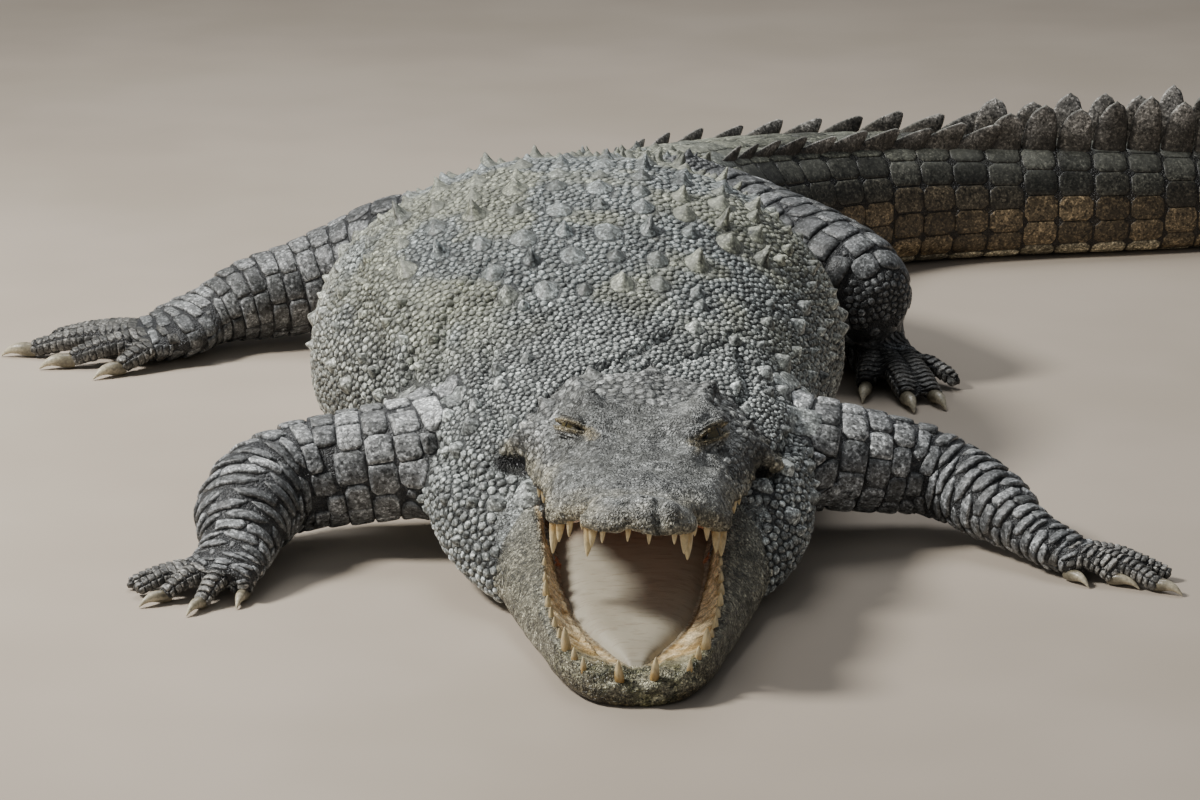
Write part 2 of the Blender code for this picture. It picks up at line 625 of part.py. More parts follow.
def lower_teeth():
    made = []
    for place, length in LOWER_TEETH:
        lip = profile(JAW_LIP_HEIGHT, place)
        x = profile(JAW_TOOTH_LINE, place) - 0.003
        y = place + (0.012 if place < 0.02 else 0.0)
        if place < 0.02:
            x = FRONT_TOOTH_X
        for sign in (-1, 1):
            root = (jaw_middle(y) + sign * x, y, lip - TOOTH_ROOT)
            tip = (jaw_middle(y) + sign * (x + 0.12 * length), y - 0.10 * length, lip + 0.9 * length)
            made.append(tooth(root, tip, tooth_radius(length)))
    return joined(made)


def tongue_mesh():
    """The broad flat tongue, which fills the floor of the mouth."""
    rings = []
    for y in np.linspace(TONGUE_STARTS, TONGUE_ENDS, 7):
        wide, top = profile(TONGUE_HALF_WIDTH, y), profile(TONGUE_TOP, y)
        below = min(profile(MOUTH_FLOOR, y), top - 0.006) - 0.004
        half = [(0.0, below), (0.7 * wide, below), (wide, (below + top) / 2), (0.9 * wide, top - 0.002),
                (0.5 * wide, top), (0.0, top + 0.001)]
        right = np.array(half)
        ring = np.vstack([right, right[-2:0:-1] * [-1, 1]])
        rings.append(np.column_stack([jaw_middle(y) + ring[:, 0], np.full(len(ring), y), ring[:, 1]]))
    return loft(rings)


def ball(centre, radius, segments=10, rows=7):
    mesh = bpy.data.meshes.new("ball")
    work = bmesh.new()
    bmesh.ops.create_uvsphere(work, u_segments=segments, v_segments=rows, radius=radius,
                              matrix=Matrix.Translation(centre))
    work.to_mesh(mesh)
    work.free()
    return mesh


def make_head():
    """Skull with upper jaw, lower jaw, tongue and eyes. Returns the room they take in the neck."""
    skull, jaw = skull_mesh(), jaw_mesh()
    eyes = {side: head_frame() @ Vector((sign * EYE_CENTRE.x, EYE_CENTRE.y, EYE_CENTRE.z))
            for side, sign in (("right", -1), ("left", 1))}
    upper = combined(skull, upper_teeth(), "UNION")
    for side, centre in eyes.items():
        upper = clear_of(upper, ball(centre, EYE_RADIUS))
        node(f"eye_{side}", ball(centre, EYE_RADIUS), "eye")
    node("head", upper, "head_hide")
    node("lower_jaw", combined(jaw, lower_teeth(), "UNION"), "head_hide")
    node("tongue", largest(clear_of(tongue_mesh(), jaw)), "mouth_lining")
    return combined(skull, jaw_block(), "UNION")


def make_body(trunk, tail, curve, head_room):
    neck, back = parted(trunk, [body_plane(curve, NECK_ENDS_AT)])
    node("neck", largest(clear_of(neck, head_room)), "back_hide")
    node("trunk", back, "back_hide")
    pieces = parted(tail, [body_plane(curve, s) for s in TAIL_CUTS])
    for name, mesh in zip(("tail_base", "tail_middle", "tail_end"), pieces):
        node(name, mesh, "back_hide")


# ---------------------------------------------------------------- limbs


def limb_tube(joints):
    """A smooth tube through a limb's joints."""
    rows = np.array([[*place, wide, high] for place, wide, high in joints])
    dense = through(rows, LIMB_RINGS)
    return loft(tube(dense[:, :3], dense[:, 3], dense[:, 4], LIMB_SIDES))


def digit_path(start, tip, radius, root_height):
    """A digit's centre line: it arches over its knuckle and comes down on its pad."""
    steps = np.linspace(0, 1, 4)
    plan = np.outer(1 - steps, start) + np.outer(steps, tip)
    thick = radius * (1 - 0.40 * steps)
    high = root_height * (1 - steps) + KNUCKLE_ARCH * np.sin(math.pi * steps) * 0.6
    z = np.maximum(high, 0) + thick * DIGIT_HEIGHT * 0.86
    return np.column_stack([plan, z]), thick


def make_foot(mesh, foot, sole_height):
    """Adds the digits to a limb; returns the limb and where each claw starts and points."""
    claws = []
    for start, tip, radius in DIGITS[foot]:
        path, thick = digit_path(start, tip, radius, sole_height)
        digit = loft(tube(path, thick, thick * DIGIT_HEIGHT, FINGER_SIDES))
        mesh = combined(mesh, digit, "UNION")
        ahead = path[-1] - path[-2]
        claws.append((path[-1], ahead / np.linalg.norm(ahead), thick[-1]))
    return mesh, claws[:CLAWED_DIGITS]


def make_claws(foot, claws, limb):
    """Curved claws, each starting a thin space beyond its digit's end and clear of the limb."""
    length = CLAW_LENGTH[foot.split("_")[0]]
    for number, (start, ahead, thick) in enumerate(claws, 1):
        steps = np.linspace(0, 1, 4)
        flat = np.array([ahead[0], ahead[1], 0.0])
        flat /= np.linalg.norm(flat)
        path = start + np.outer(PART_GAP + steps * length, flat)
        radius = thick * 0.74 * (1 - 0.86 * steps**1.4)
        path[:, 2] = start[2] * (1 - steps**1.6) + radius * 1.02 * steps**1.6
        side = np.cross(flat, [0, 0, 1.0])
        turn = np.linspace(0, 2 * math.pi, 5, endpoint=False)
        rings = [p + side * (r * 0.8 * np.cos(turn))[:, None] + np.outer(r * np.sin(turn), [0, 0, 1.0])
                 for p, r in zip(path, radius)]
        rings = np.maximum(rings, [-9.0, -9.0, 0.0])
        node(f"claw_{foot}_{number}", largest(clear_of(loft(rings), limb)), "claw")


def plate_at(joints, index, share=0.5):
    """A thin plate across a limb between two of its joints."""
    a, b = Vector(joints[index][0]), Vector(joints[index + 1][0])
    return slice_at(a.lerp(b, share), b - a, 2.0 * joints[index][1])


def make_limb(side, kind, names, joints, marks, body):
    """A limb in three named pieces, with its claws."""
    foot = f"{kind}_{side}"
    mesh, claws = make_foot(limb_tube(joints), foot, 0.014)
    mesh = clear_of(mesh, body)
    plates = [plate_at(joints, 2), plate_at(joints, marks[2] - 1)]
    for name, piece in zip(names, sliced(mesh, plates, [joints[i][0] for i in marks])):
        node(f"{name}_{side}", piece, "limb_hide")
    make_claws(foot, claws, mesh)


def make_hind_left(body):
    """The left hind leg is folded: thigh forwards, shank back under it, foot forwards again."""
    thigh, shank = limb_tube(HIND_LEFT), limb_tube(SHANK_LEFT)
    foot, claws = make_foot(limb_tube(FOOT_LEFT), "hind_left", 0.014)
    node("thigh_left", largest(clear_of(thigh, body)), "limb_hide")
    node("shank_left", largest(clear_of(shank, thigh, body)), "limb_hide")
    node("hindfoot_left", largest(clear_of(foot, shank, thigh, body)), "limb_hide")
    make_claws("hind_left", claws, foot)


# ---------------------------------------------------------------- assembly


def stand_at_origin():
    """Hangs every node on one empty that brings the animal's bottom centre to the origin."""
    nodes = [o for o in bpy.data.objects if o.type == "MESH"]
    corners = np.array([v.co for o in nodes for v in o.data.vertices])
    low, high = corners.min(0), corners.max(0)
    stand = bpy.data.objects.new("crocodile", None)
    bpy.context.scene.collection.objects.link(stand)
    stand.location = (-(low[0] + high[0]) / 2, -(low[1] + high[1]) / 2, -low[2])
    for made in nodes:
        made.parent = stand


def main():
    for old in list(bpy.data.objects):
        bpy.data.objects.remove(old)
    curve = through(SPINE)
    body = trunk_mesh(curve)
    make_body(body, tail_mesh(curve), curve, make_head())
    fore = ("upper_arm", "forearm", "forefoot")
    make_limb("right", "fore", fore, FORE_RIGHT, (1, 4, 6), body)
    make_limb("left", "fore", fore, FORE_LEFT, (1, 4, 6), body)
    make_limb("right", "hind", ("thigh", "shank", "hindfoot"), HIND_RIGHT, (1, 4, 7), body)
    make_hind_left(body)
    stand_at_origin()


main()
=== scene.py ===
"""The looks of a basking mugger crocodile: one smooth skin, a coat of raised scales, teeth, eyes and claws.

Shapes are written in plan coordinates, whose zero is the ground under the chin's tip: the head faces
-Y, the tail swings round to +X and Z is up. Every finished mesh is moved into the frame of the solids.
Lengths are in metres.
"""

import math

import bmesh
import bpy
import numpy as np
from mathutils import Matrix, Vector, kdtree
from mathutils.bvhtree import BVHTree


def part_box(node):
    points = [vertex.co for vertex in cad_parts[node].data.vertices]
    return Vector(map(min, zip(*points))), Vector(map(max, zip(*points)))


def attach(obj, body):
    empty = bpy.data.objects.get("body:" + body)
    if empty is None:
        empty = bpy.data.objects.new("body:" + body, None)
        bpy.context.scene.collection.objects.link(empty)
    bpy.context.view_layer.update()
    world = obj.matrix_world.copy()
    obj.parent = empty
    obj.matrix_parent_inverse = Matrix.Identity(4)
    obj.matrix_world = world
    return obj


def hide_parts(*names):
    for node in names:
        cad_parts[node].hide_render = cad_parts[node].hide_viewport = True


bl_info = {
    "name": "Basking crocodile",
    "version": (1, 0, 0),
    "blender": (4, 5, 0),
    "location": "View3D > Sidebar > Crocodile",
    "description": "Builds the skin, scales, teeth, eyes and claws of a life-size crocodile",
    "category": "Add Mesh",
}

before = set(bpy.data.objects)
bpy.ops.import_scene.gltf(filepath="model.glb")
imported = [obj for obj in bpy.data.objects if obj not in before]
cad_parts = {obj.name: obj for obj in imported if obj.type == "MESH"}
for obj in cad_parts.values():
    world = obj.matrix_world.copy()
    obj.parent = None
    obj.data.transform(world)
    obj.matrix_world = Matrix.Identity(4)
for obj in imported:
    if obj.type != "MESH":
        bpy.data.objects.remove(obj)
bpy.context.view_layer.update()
FLESH = (
    "head", "lower_jaw", "neck", "trunk", "tail_base", "tail_middle", "tail_end",
    "upper_arm_left", "forearm_left", "forefoot_left", "upper_arm_right", "forearm_right", "forefoot_right",
    "thigh_left", "shank_left", "hindfoot_left", "thigh_right", "shank_right", "hindfoot_right",
)

# ---------------------------------------------------------------- the body's measures

# Spine on the ground plane (x, y), from under the throat to the tip of the tail.
SPINE = [
    (0.040, 0.33), (0.032, 0.50), (0.008, 0.78), (-0.030, 1.03), (-0.020, 1.28), (0.005, 1.50),
    (0.045, 1.70), (0.105, 1.90), (0.200, 2.08), (0.340, 2.20), (0.510, 2.28), (0.700, 2.32),
    (0.870, 2.34), (1.050, 2.37), (1.300, 2.42), (1.580, 2.43), (1.850, 2.38),
]
BODY_HALF_WIDTH = [
    (0.00, 0.110), (0.02, 0.166), (0.05, 0.196), (0.09, 0.222), (0.16, 0.246), (0.25, 0.256),
    (0.35, 0.264), (0.45, 0.292), (0.57, 0.345), (0.69, 0.379), (0.80, 0.381), (0.90, 0.358),
    (1.00, 0.322), (1.12, 0.274), (1.26, 0.226), (1.42, 0.188), (1.62, 0.160), (1.82, 0.142),
    (2.06, 0.122), (2.36, 0.099), (2.68, 0.077), (2.98, 0.053), (3.28, 0.030), (3.50, 0.009),
]
BODY_HEIGHT = [
    (0.00, 0.055), (0.02, 0.090), (0.05, 0.122), (0.09, 0.158), (0.16, 0.204), (0.25, 0.244),
    (0.35, 0.272), (0.45, 0.304), (0.57, 0.346), (0.69, 0.378), (0.80, 0.394), (0.90, 0.393),
    (1.02, 0.376), (1.14, 0.350), (1.26, 0.324), (1.40, 0.298), (1.62, 0.268), (1.82, 0.244),
    (2.06, 0.224), (2.36, 0.202), (2.68, 0.178), (2.98, 0.138), (3.28, 0.088), (3.50, 0.022),
]
BODY_WIDEST_AT = [(0.0, 0.42), (0.3, 0.40), (0.8, 0.40), (1.5, 0.45), (2.0, 0.46), (3.5, 0.45)]
BELLY_FLAT = 0.012
SIDE_FULLNESS, BACK_FULLNESS, BELLY_FULLNESS = 0.84, 0.94, 0.80
BODY_LENGTH = 3.49
BODY_SIDES, RING_STEP = 72, 0.010
NECK_FORM_ENDS, BODY_FORM_STARTS = 0.56, 0.44
TRUNK_ENDS_AT = 1.60
WHORLS_DOUBLE, WHORLS_SINGLE, WHORL_TAPER = 17, 15, 0.58
CREST_HEIGHT = [(1.60, 0.012), (1.86, 0.024), (2.16, 0.044), (2.46, 0.066), (2.76, 0.080),
                (3.06, 0.068), (3.31, 0.042), (3.50, 0.008)]
CREST_APART = [(1.60, 0.085), (1.96, 0.068), (2.36, 0.042), (2.71, 0.020), (3.50, 0.010)]

SAW_WHORLS = 10
CREST_LEAN = math.radians(9)

# Upper jaw and skull, in a frame whose zero is the snout's tip on the palate plane.
SNOUT_TIP = Vector((0.0455, 0.072, 0.190))
HEAD_PITCH, HEAD_ROLL, HEAD_YAW = math.radians(5.0), math.radians(2.5), math.radians(-0.8)
SKULL_LENGTH, SKULL_REAR = 0.50, 0.3
SKULL_HALF_WIDTH = [
    (0.000, 0.026), (0.006, 0.040), (0.018, 0.053), (0.036, 0.0635), (0.056, 0.067), (0.080, 0.0635),
    (0.104, 0.074), (0.135, 0.100), (0.160, 0.109), (0.200, 0.114), (0.250, 0.123), (0.300, 0.133),
    (0.350, 0.148), (0.400, 0.166), (0.450, 0.174), (0.500, 0.168),
]
SKULL_TOP = [
    (0.000, 0.010), (0.006, 0.020), (0.018, 0.028), (0.040, 0.032), (0.070, 0.032), (0.110, 0.035),
    (0.160, 0.042), (0.220, 0.050), (0.280, 0.061), (0.330, 0.075), (0.380, 0.089), (0.440, 0.102),
    (0.500, 0.106),
]
SKULL_TOP_BREADTH = [(0.0, 3.2), (0.10, 3.0), (0.20, 2.6), (0.30, 2.2), (0.38, 2.3), (0.50, 2.6)]
SKULL_SIDE_STEEPNESS = [(0.0, 0.42), (0.15, 0.46), (0.28, 0.60), (0.38, 0.72), (0.50, 0.78)]
PALATE_ARCH = 0.012
LIP_WAVES = [(0.050, 0.020, -0.003), (0.088, 0.011, 0.006), (0.160, 0.046, -0.024), (0.300, 0.045, -0.010),
             (0.420, 0.050, 0.004)]
ORBIT = Vector((0.074, 0.335, 0.0))
ORBIT_RISE, ORBIT_REACH = 0.030, 0.029
NOSTRIL_MOUND = Vector((0.0, 0.048, 0.0))
MOUND_RISE, MOUND_REACH = 0.007, 0.024
EYE_CENTRE = Vector((0.084, 0.326, 0.060))
EYE_RADIUS = 0.0185
LID_LENGTH = 1.45
NOSE = np.array([0.0, 0.046, 0.036])
NOSTRILS = [((-0.019, 0.033), 0.0085), ((0.007, 0.040), 0.0050)]
NOSE_CREASE = [(-0.034, 0.112), (0.004, 0.118), (0.040, 0.112)]
CHEEK_ARCH = [(0.178, 0.440, 0.004), (0.160, 0.392, 0.020), (0.128, 0.378, 0.046)]
HOLLOW_CENTRE, HOLLOW_REACH = (0.154, 0.384, 0.0), (0.033, 0.032, 0.0135)
SNOUT_RIDGE = [(0.030, 0.12), (0.050, 0.20), (0.060, 0.28), (0.038, 0.330)]
# Ridges and furrows of each half of the skull's upper side as (line, height, reach), then its single knobs.
SKULL_RIDGES = [
    ([(0.024, 0.220), (0.030, 0.290)], -0.0022, 0.014),
    ([(0.080, 0.235), (0.086, 0.285)], -0.0050, 0.014),
    ([(0.108, 0.300), (0.122, 0.350), (0.150, 0.392)], 0.0055, 0.010),
    ([(0.118, 0.400), (0.104, 0.450)], -0.0040, 0.010),
    ([(0.086, 0.175), (0.098, 0.225)], 0.0040, 0.014),
    ([(0.046, 0.105), (0.070, 0.122)], -0.0040, 0.010),
    ([(0.064, 0.372), (0.094, 0.352)], 0.0080, 0.010),
    ([(0.070, 0.375), (0.080, 0.430), (0.090, 0.485)], 0.0060, 0.010),
]
SKULL_KNOBS = [((0.082, 0.468), 0.012, 0.013), ((-0.086, 0.472), 0.006, 0.014)]

# Lower jaw, from the chin backwards along y.
JAW_TIP_X, JAW_TURN, JAW_LENGTH = 0.0435, -0.012, 0.53
JAW_HALF_WIDTH = [
    (0.000, 0.022), (0.006, 0.043), (0.018, 0.061), (0.040, 0.077), (0.080, 0.096), (0.140, 0.113),
    (0.220, 0.136), (0.320, 0.163), (0.420, 0.182), (0.530, 0.180),
]
JAW_LIP_HEIGHT = [
    (0.000, 0.022), (0.010, 0.033), (0.040, 0.042), (0.100, 0.052), (0.180, 0.064), (0.260, 0.082),
    (0.330, 0.104), (0.380, 0.122), (0.430, 0.133), (0.530, 0.137),
]
# Half widths of the lower tooth row, of the floor inside the gums and of the tongue.
JAW_TOOTH_LINE = [(0.000, 0.018), (0.004, 0.036), (0.012, 0.052), (0.036, 0.070), (0.080, 0.088),
                  (0.140, 0.101), (0.200, 0.108), (0.300, 0.112), (0.400, 0.124), (0.530, 0.140)]
GUM_INNER = [(0.000, 0.006), (0.042, 0.014), (0.060, 0.029), (0.090, 0.046), (0.150, 0.064), (0.190, 0.077),
             (0.250, 0.087), (0.290, 0.094), (0.400, 0.108), (0.530, 0.124)]
TONGUE_EDGE = [(0.043, 0.001), (0.060, 0.009), (0.090, 0.024), (0.130, 0.044), (0.170, 0.061), (0.200, 0.071),
               (0.250, 0.084), (0.290, 0.092), (0.400, 0.107), (0.530, 0.123)]
MOUTH_FLOOR = [(0.00, 0.020), (0.02, 0.033), (0.042, 0.037), (0.058, 0.029), (0.15, 0.034),
               (0.28, 0.050), (0.40, 0.082), (0.53, 0.110)]
MOUTH_ENDS, BARE_JAW_ENDS = 0.468, 0.36
MOUTH_BACK = MOUTH_ENDS + 0.03
TONGUE_STARTS, TONGUE_ENDS = 0.043, 0.430 + 0.036
TONGUE_TOP = [(0.062, 0.030), (0.075, 0.038), (0.12, 0.046), (0.22, 0.058), (0.32, 0.076), (0.43, 0.104)]

# Teeth as (place along the jaw, length); each row is mirrored.
UPPER_TEETH = [
    (0.004, 0.013), (0.016, 0.016), (0.034, 0.026), (0.054, 0.036), (0.074, 0.014), (0.108, 0.015),
    (0.124, 0.020), (0.142, 0.027), (0.164, 0.037), (0.188, 0.022), (0.214, 0.018), (0.242, 0.021),
    (0.272, 0.019), (0.304, 0.015),
]
LOWER_TEETH = [
    (0.010, 0.027), (0.027, 0.015), (0.046, 0.020), (0.070, 0.031), (0.098, 0.016), (0.124, 0.018),
    (0.150, 0.017), (0.178, 0.021), (0.206, 0.022), (0.238, 0.017), (0.272, 0.014),
]
TOOTH_INSET, FRONT_TOOTH_X, TOOTH_ROOT = 0.0095, 0.020, 0.006
# A tooth's outline as (height, radius), in shares of its length and its width.
TOOTH_OUTLINE = [(0.0, 0.46), (0.12, 0.50), (0.3, 0.49), (0.5, 0.43), (0.68, 0.345), (0.82, 0.25),
                 (0.92, 0.155), (0.975, 0.085), (1.0, 0.03)]
PALE_TOOTH, STAINED_TOOTH = (0.64, 0.53, 0.31), (0.38, 0.235, 0.075)

# Limbs: joints from the root to the wrist or ankle, each with half width and half height.
LIMBS = {
    "fore_right": [((-0.13, 0.70, 0.125), 0.085, 0.085), ((-0.26, 0.655, 0.112), 0.086, 0.078),
                   ((-0.385, 0.640, 0.095), 0.074, 0.072), ((-0.442, 0.595, 0.084), 0.070, 0.069),
                   ((-0.459, 0.535, 0.070), 0.067, 0.061), ((-0.464, 0.475, 0.049), 0.050, 0.042),
                   ((-0.474, 0.440, 0.036), 0.052, 0.030), ((-0.488, 0.415, 0.024), 0.054, 0.022)],
    "fore_left": [((0.16, 0.72, 0.125), 0.085, 0.085), ((0.285, 0.690, 0.110), 0.082, 0.074),
                  ((0.410, 0.700, 0.088), 0.064, 0.062), ((0.468, 0.680, 0.074), 0.057, 0.056),
                  ((0.515, 0.625, 0.060), 0.052, 0.050), ((0.562, 0.560, 0.040), 0.036, 0.034),
                  ((0.590, 0.530, 0.030), 0.041, 0.028), ((0.625, 0.505, 0.020), 0.044, 0.021)],
    "hind_right": [((-0.02, 1.690, 0.150), 0.120, 0.090), ((-0.17, 1.700, 0.145), 0.115, 0.093),
                   ((-0.300, 1.715, 0.135), 0.098, 0.099), ((-0.400, 1.720, 0.105), 0.084, 0.085),
                   ((-0.475, 1.705, 0.085), 0.074, 0.074), ((-0.550, 1.680, 0.072), 0.068, 0.064),
                   ((-0.612, 1.648, 0.054), 0.060, 0.046), ((-0.660, 1.610, 0.040), 0.080, 0.038),
                   ((-0.715, 1.592, 0.027), 0.082, 0.028)],
    "thigh_left": [((0.10, 1.740, 0.190), 0.120, 0.110), ((0.235, 1.650, 0.165), 0.112, 0.102),
                   ((0.350, 1.520, 0.148), 0.092, 0.094), ((0.405, 1.468, 0.130), 0.076, 0.082),
                   ((0.428, 1.428, 0.116), 0.042, 0.048)],
    "shank_left": [((0.385, 1.490, 0.120), 0.066, 0.070), ((0.405, 1.560, 0.088), 0.066, 0.062),
                   ((0.418, 1.625, 0.052), 0.050, 0.048)],
    "hind_left": [((0.415, 1.640, 0.040), 0.040, 0.034), ((0.420, 1.590, 0.034), 0.050, 0.032),
                  ((0.430, 1.520, 0.027), 0.056, 0.026), ((0.445, 1.455, 0.022), 0.060, 0.022)],
}
# Digits as (start, tip, root radius); the inner three of each foot carry claws.
DIGITS = {
    "fore_right": [((-0.447, 0.430), (-0.452, 0.398), 0.0175), ((-0.476, 0.420), (-0.502, 0.366), 0.0180),
                   ((-0.500, 0.428), (-0.552, 0.390), 0.0180), ((-0.506, 0.445), (-0.588, 0.416), 0.0160),
                   ((-0.500, 0.460), (-0.603, 0.446), 0.0140)],
    "fore_left": [((0.592, 0.500), (0.606, 0.478), 0.0175), ((0.612, 0.496), (0.660, 0.462), 0.0180),
                  ((0.628, 0.500), (0.712, 0.436), 0.0180), ((0.636, 0.510), (0.735, 0.480), 0.0155),
                  ((0.628, 0.525), (0.712, 0.535), 0.0135)],
    "hind_right": [((-0.665, 1.548), (-0.738, 1.490), 0.0235), ((-0.705, 1.565), (-0.820, 1.535), 0.0245),
                   ((-0.722, 1.600), (-0.888, 1.603), 0.0240), ((-0.712, 1.640), (-0.864, 1.676), 0.0225)],
    "hind_left": [((0.412, 1.462), (0.398, 1.372), 0.0225), ((0.438, 1.450), (0.458, 1.316), 0.0235),
                  ((0.462, 1.458), (0.500, 1.330), 0.0225), ((0.474, 1.480), (0.546, 1.398), 0.0185)],
}
CLAW_LENGTH = {"fore": 0.036, "hind": 0.044}
CLAWED_DIGITS, DIGIT_HEIGHT, KNUCKLE_ARCH, ANKLE_HEIGHT = 3, 0.92, 0.012, 0.014
LIMB_SIDES, DIGIT_SIDES, DIGIT_STEPS, DIGIT_COAT = 40, 24, 16, 0.0012
CLAW_GIRTH = 0.77
PALE_CLAW, DARK_CLAW = (0.50, 0.45, 0.33), (0.16, 0.140, 0.095)

# Plates of the crest as (height, half thickness) from the foot up, then the front and the rear edge of
# each kind of plate at those heights.
PLATE_THICKNESS = [(-0.16, 0.52), (0.0, 0.46), (0.16, 0.36), (0.34, 0.28), (0.52, 0.22), (0.70, 0.17),
                   (0.85, 0.13), (0.95, 0.10), (1.0, 0.05)]
SAW_PLATE = ((-0.50, -0.49, -0.42, -0.30, -0.14, 0.04, 0.22, 0.38, 0.50),
             (0.50, 0.52, 0.56, 0.60, 0.64, 0.67, 0.69, 0.69, 0.66))
TALL_PLATE = ((-0.49, -0.48, -0.46, -0.42, -0.38, -0.31, -0.20, -0.08, 0.10),
              (0.49, 0.49, 0.49, 0.50, 0.50, 0.48, 0.43, 0.36, 0.22))

# Scales: the ranks, the parts of the coat, and how the scales are spaced and built.
PEBBLE, KNOB, MOUND, BOXED = 0, 2, 2.5, 3
SCUTES_GROUP, KNOBS_GROUP, TAIL_GROUP, LIMBS_GROUP, BODY_GROUP, HEAD_GROUP = range(1, 7)
COAT_SHADES = {SCUTES_GROUP: 0.82, KNOBS_GROUP: 1.22}
PEBBLE_CUTS = [-1.0, 0.32, 0.62, 1.0, 9.0]
PEBBLE_SIZES = [(0.0, 0.0034), (0.2, 0.0036), (0.5, 0.0043), (1.0, 0.0049), (1.6, 0.0052), (2.2, 0.0064),
                (3.4, 0.0064)]
PEBBLE_TRIES = 1.15
SMOOTH_CHEEK = 0.048
LEAST_SPACING, CELL, BIGGEST_SCALE = 0.72, 0.022, 0.028
FEW_SIDES, MANY_SIDES = 6, 16
UV_PATCH = 0.0015
# Scutes in columns on each side of the spine as (offset, half width, height, keel).
BACK_ROWS = 17
BACK_COLUMNS = [
    (0.030, 0.019, 0.0046, 0.0060), (0.089, 0.018, 0.0048, 0.0085), (0.147, 0.018, 0.0050, 0.0100),
    (0.202, 0.018, 0.0048, 0.0120), (0.250, 0.015, 0.0048, 0.0120),
]
# Knobs behind the head as (distance along the spine, offset, half length, half width, height, keel).
NUCHAL_KNOBS = [
    (0.165, 0.034, 0.021, 0.019, 0.005, 0.012), (0.236, 0.036, 0.022, 0.020, 0.005, 0.012),
    (0.200, 0.098, 0.018, 0.016, 0.005, 0.010), (0.078, 0.072, 0.011, 0.011, 0.004, 0.006),
]
KNOB_TURNS = (0.058, 0.094, 0.128, 0.162, 0.196, 0.228)

# The head's extra fineness, a distance beyond all others, colour measures and the stage.
HEAD_FINENESS = 1.6
FAR = 9.0
TAIL_BAND, HIND_SHADE = 0.31, 0.62
FLOOR_HALF = 14.0
# Lights as (name, place, aim, size, power, colour).
LIGHTS = [
    ("key", (-3.0, 0.6, 3.2), (0.0, 0.8, 0.1), 0.95, 275.0, (1.0, 0.98, 0.94)),
    ("top", (-0.2, 3.2, 4.0), (0.1, 1.0, 0.1), 2.2, 85.0, (0.97, 0.98, 1.0)),
    ("front", (-1.6, -3.6, 1.8), (0.05, 0.2, 0.1), 2.0, 14.0, (1.0, 0.98, 0.96)),
]
# Large odd numbers that scatter the corners of the noise's cells.
SCATTER, STIR = np.array([374761393, 668265263, 2147483647]), 1274126177

# ---------------------------------------------------------------- curves and noise


def profile(knots, at):
    """Smooth curve through (place, value) knots that never overshoots them (a monotone cubic)."""
    place, value = np.array(knots, float).T
    step = np.diff(place)
    rise = np.diff(value) / step
    slope = np.zeros_like(value)
    slope[0], slope[-1] = rise[0], rise[-1]
    before, after = 2 * step[1:] + step[:-1], step[1:] + 2 * step[:-1]
    steady = rise[:-1] * rise[1:] > 0
    safe = np.where(rise == 0, 1.0, rise)
    mean = (before + after) / (before / safe[:-1] + after / safe[1:])
    slope[1:-1] = np.where(steady, mean, 0.0)
    at = np.clip(at, place[0], place[-1])
    i = np.clip(np.searchsorted(place, at) - 1, 0, len(step) - 1)
    u = (at - place[i]) / step[i]
    start = (1 + 2 * u) * (1 - u) ** 2 * value[i] + u * (1 - u) ** 2 * step[i] * slope[i]
    end = u * u * (3 - 2 * u) * value[i + 1] + u * u * (u - 1) * step[i] * slope[i + 1]
    return start + end


def through(points, per_span=24, closed=False):
    """A dense Catmull-Rom curve through the points."""
    points = np.array(points, float)
    if closed:
        padded = np.vstack([points[-1:], points, points[:2]])
    else:
        padded = np.vstack([2 * points[0] - points[1], points, 2 * points[-1] - points[-2]])
    u = np.linspace(0, 1, per_span, endpoint=False)[:, None]
    spans = []
    for a, b, c, d in zip(padded, padded[1:], padded[2:], padded[3:]):
        spans.append(0.5 * (2 * b + (c - a) * u + (2 * a - 5 * b + 4 * c - d) * u**2
                            + (3 * b - a - 3 * c + d) * u**3))
    return np.vstack(spans if closed else [*spans, points[-1:]])


def distances(points):
    """How far each point is along the broken line that they make."""
    return np.concatenate([[0], np.cumsum(np.linalg.norm(np.diff(points, axis=0), axis=1))])


def along(curve, at):
    """Points and unit tangents at these distances along a dense curve."""
    reach = distances(curve)
    at = np.atleast_1d(at)
    little = 0.004
    def place(distance):
        return np.stack([np.interp(distance, reach, curve[:, k]) for k in range(curve.shape[1])], 1)
    ahead = place(np.minimum(at + little, reach[-1])) - place(np.maximum(at - little, 0))
    return place(at), ahead / np.linalg.norm(ahead, axis=1)[:, None]


def bump(distance, reach):
    return np.exp(-((distance / reach) ** 2))


def ease(low, high, value):
    """0 below low, 1 above high and smooth between them."""
    t = np.clip((value - low) / (high - low), 0, 1)
    return t * t * (3 - 2 * t)


def unit(rows):
    return rows / np.maximum(np.linalg.norm(rows, axis=-1, keepdims=True), 1e-9)


def rough(points, size, seed=0, octaves=3):
    """Smooth noise between about -1 and 1 at each point, whose largest lumps are of that size."""
    total, scale, weight = np.zeros(len(points)), 1.0 / size, 1.0
    for octave in range(octaves):
        cell = points * scale + 17.3 * (octave + 1) + seed * 5.77
        base = np.floor(cell).astype(np.int64)
        part = cell - base
        part = part * part * (3 - 2 * part)
        value = np.zeros(len(points))
        for corner in range(8):
            offset = np.array([(corner >> k) & 1 for k in range(3)])
            mixed = ((base + offset) * SCATTER).sum(1) + seed * STIR
            mixed = (mixed ^ (mixed >> 13)) * STIR
            share = ((mixed ^ (mixed >> 16)) & 0xFFFF) / 32767.5 - 1.0
            value += share * np.prod(np.where(offset, part, 1 - part), axis=1)
        total += weight * value
        scale, weight = scale * 2.1, weight * 0.5
    return total


# ---------------------------------------------------------------- forms


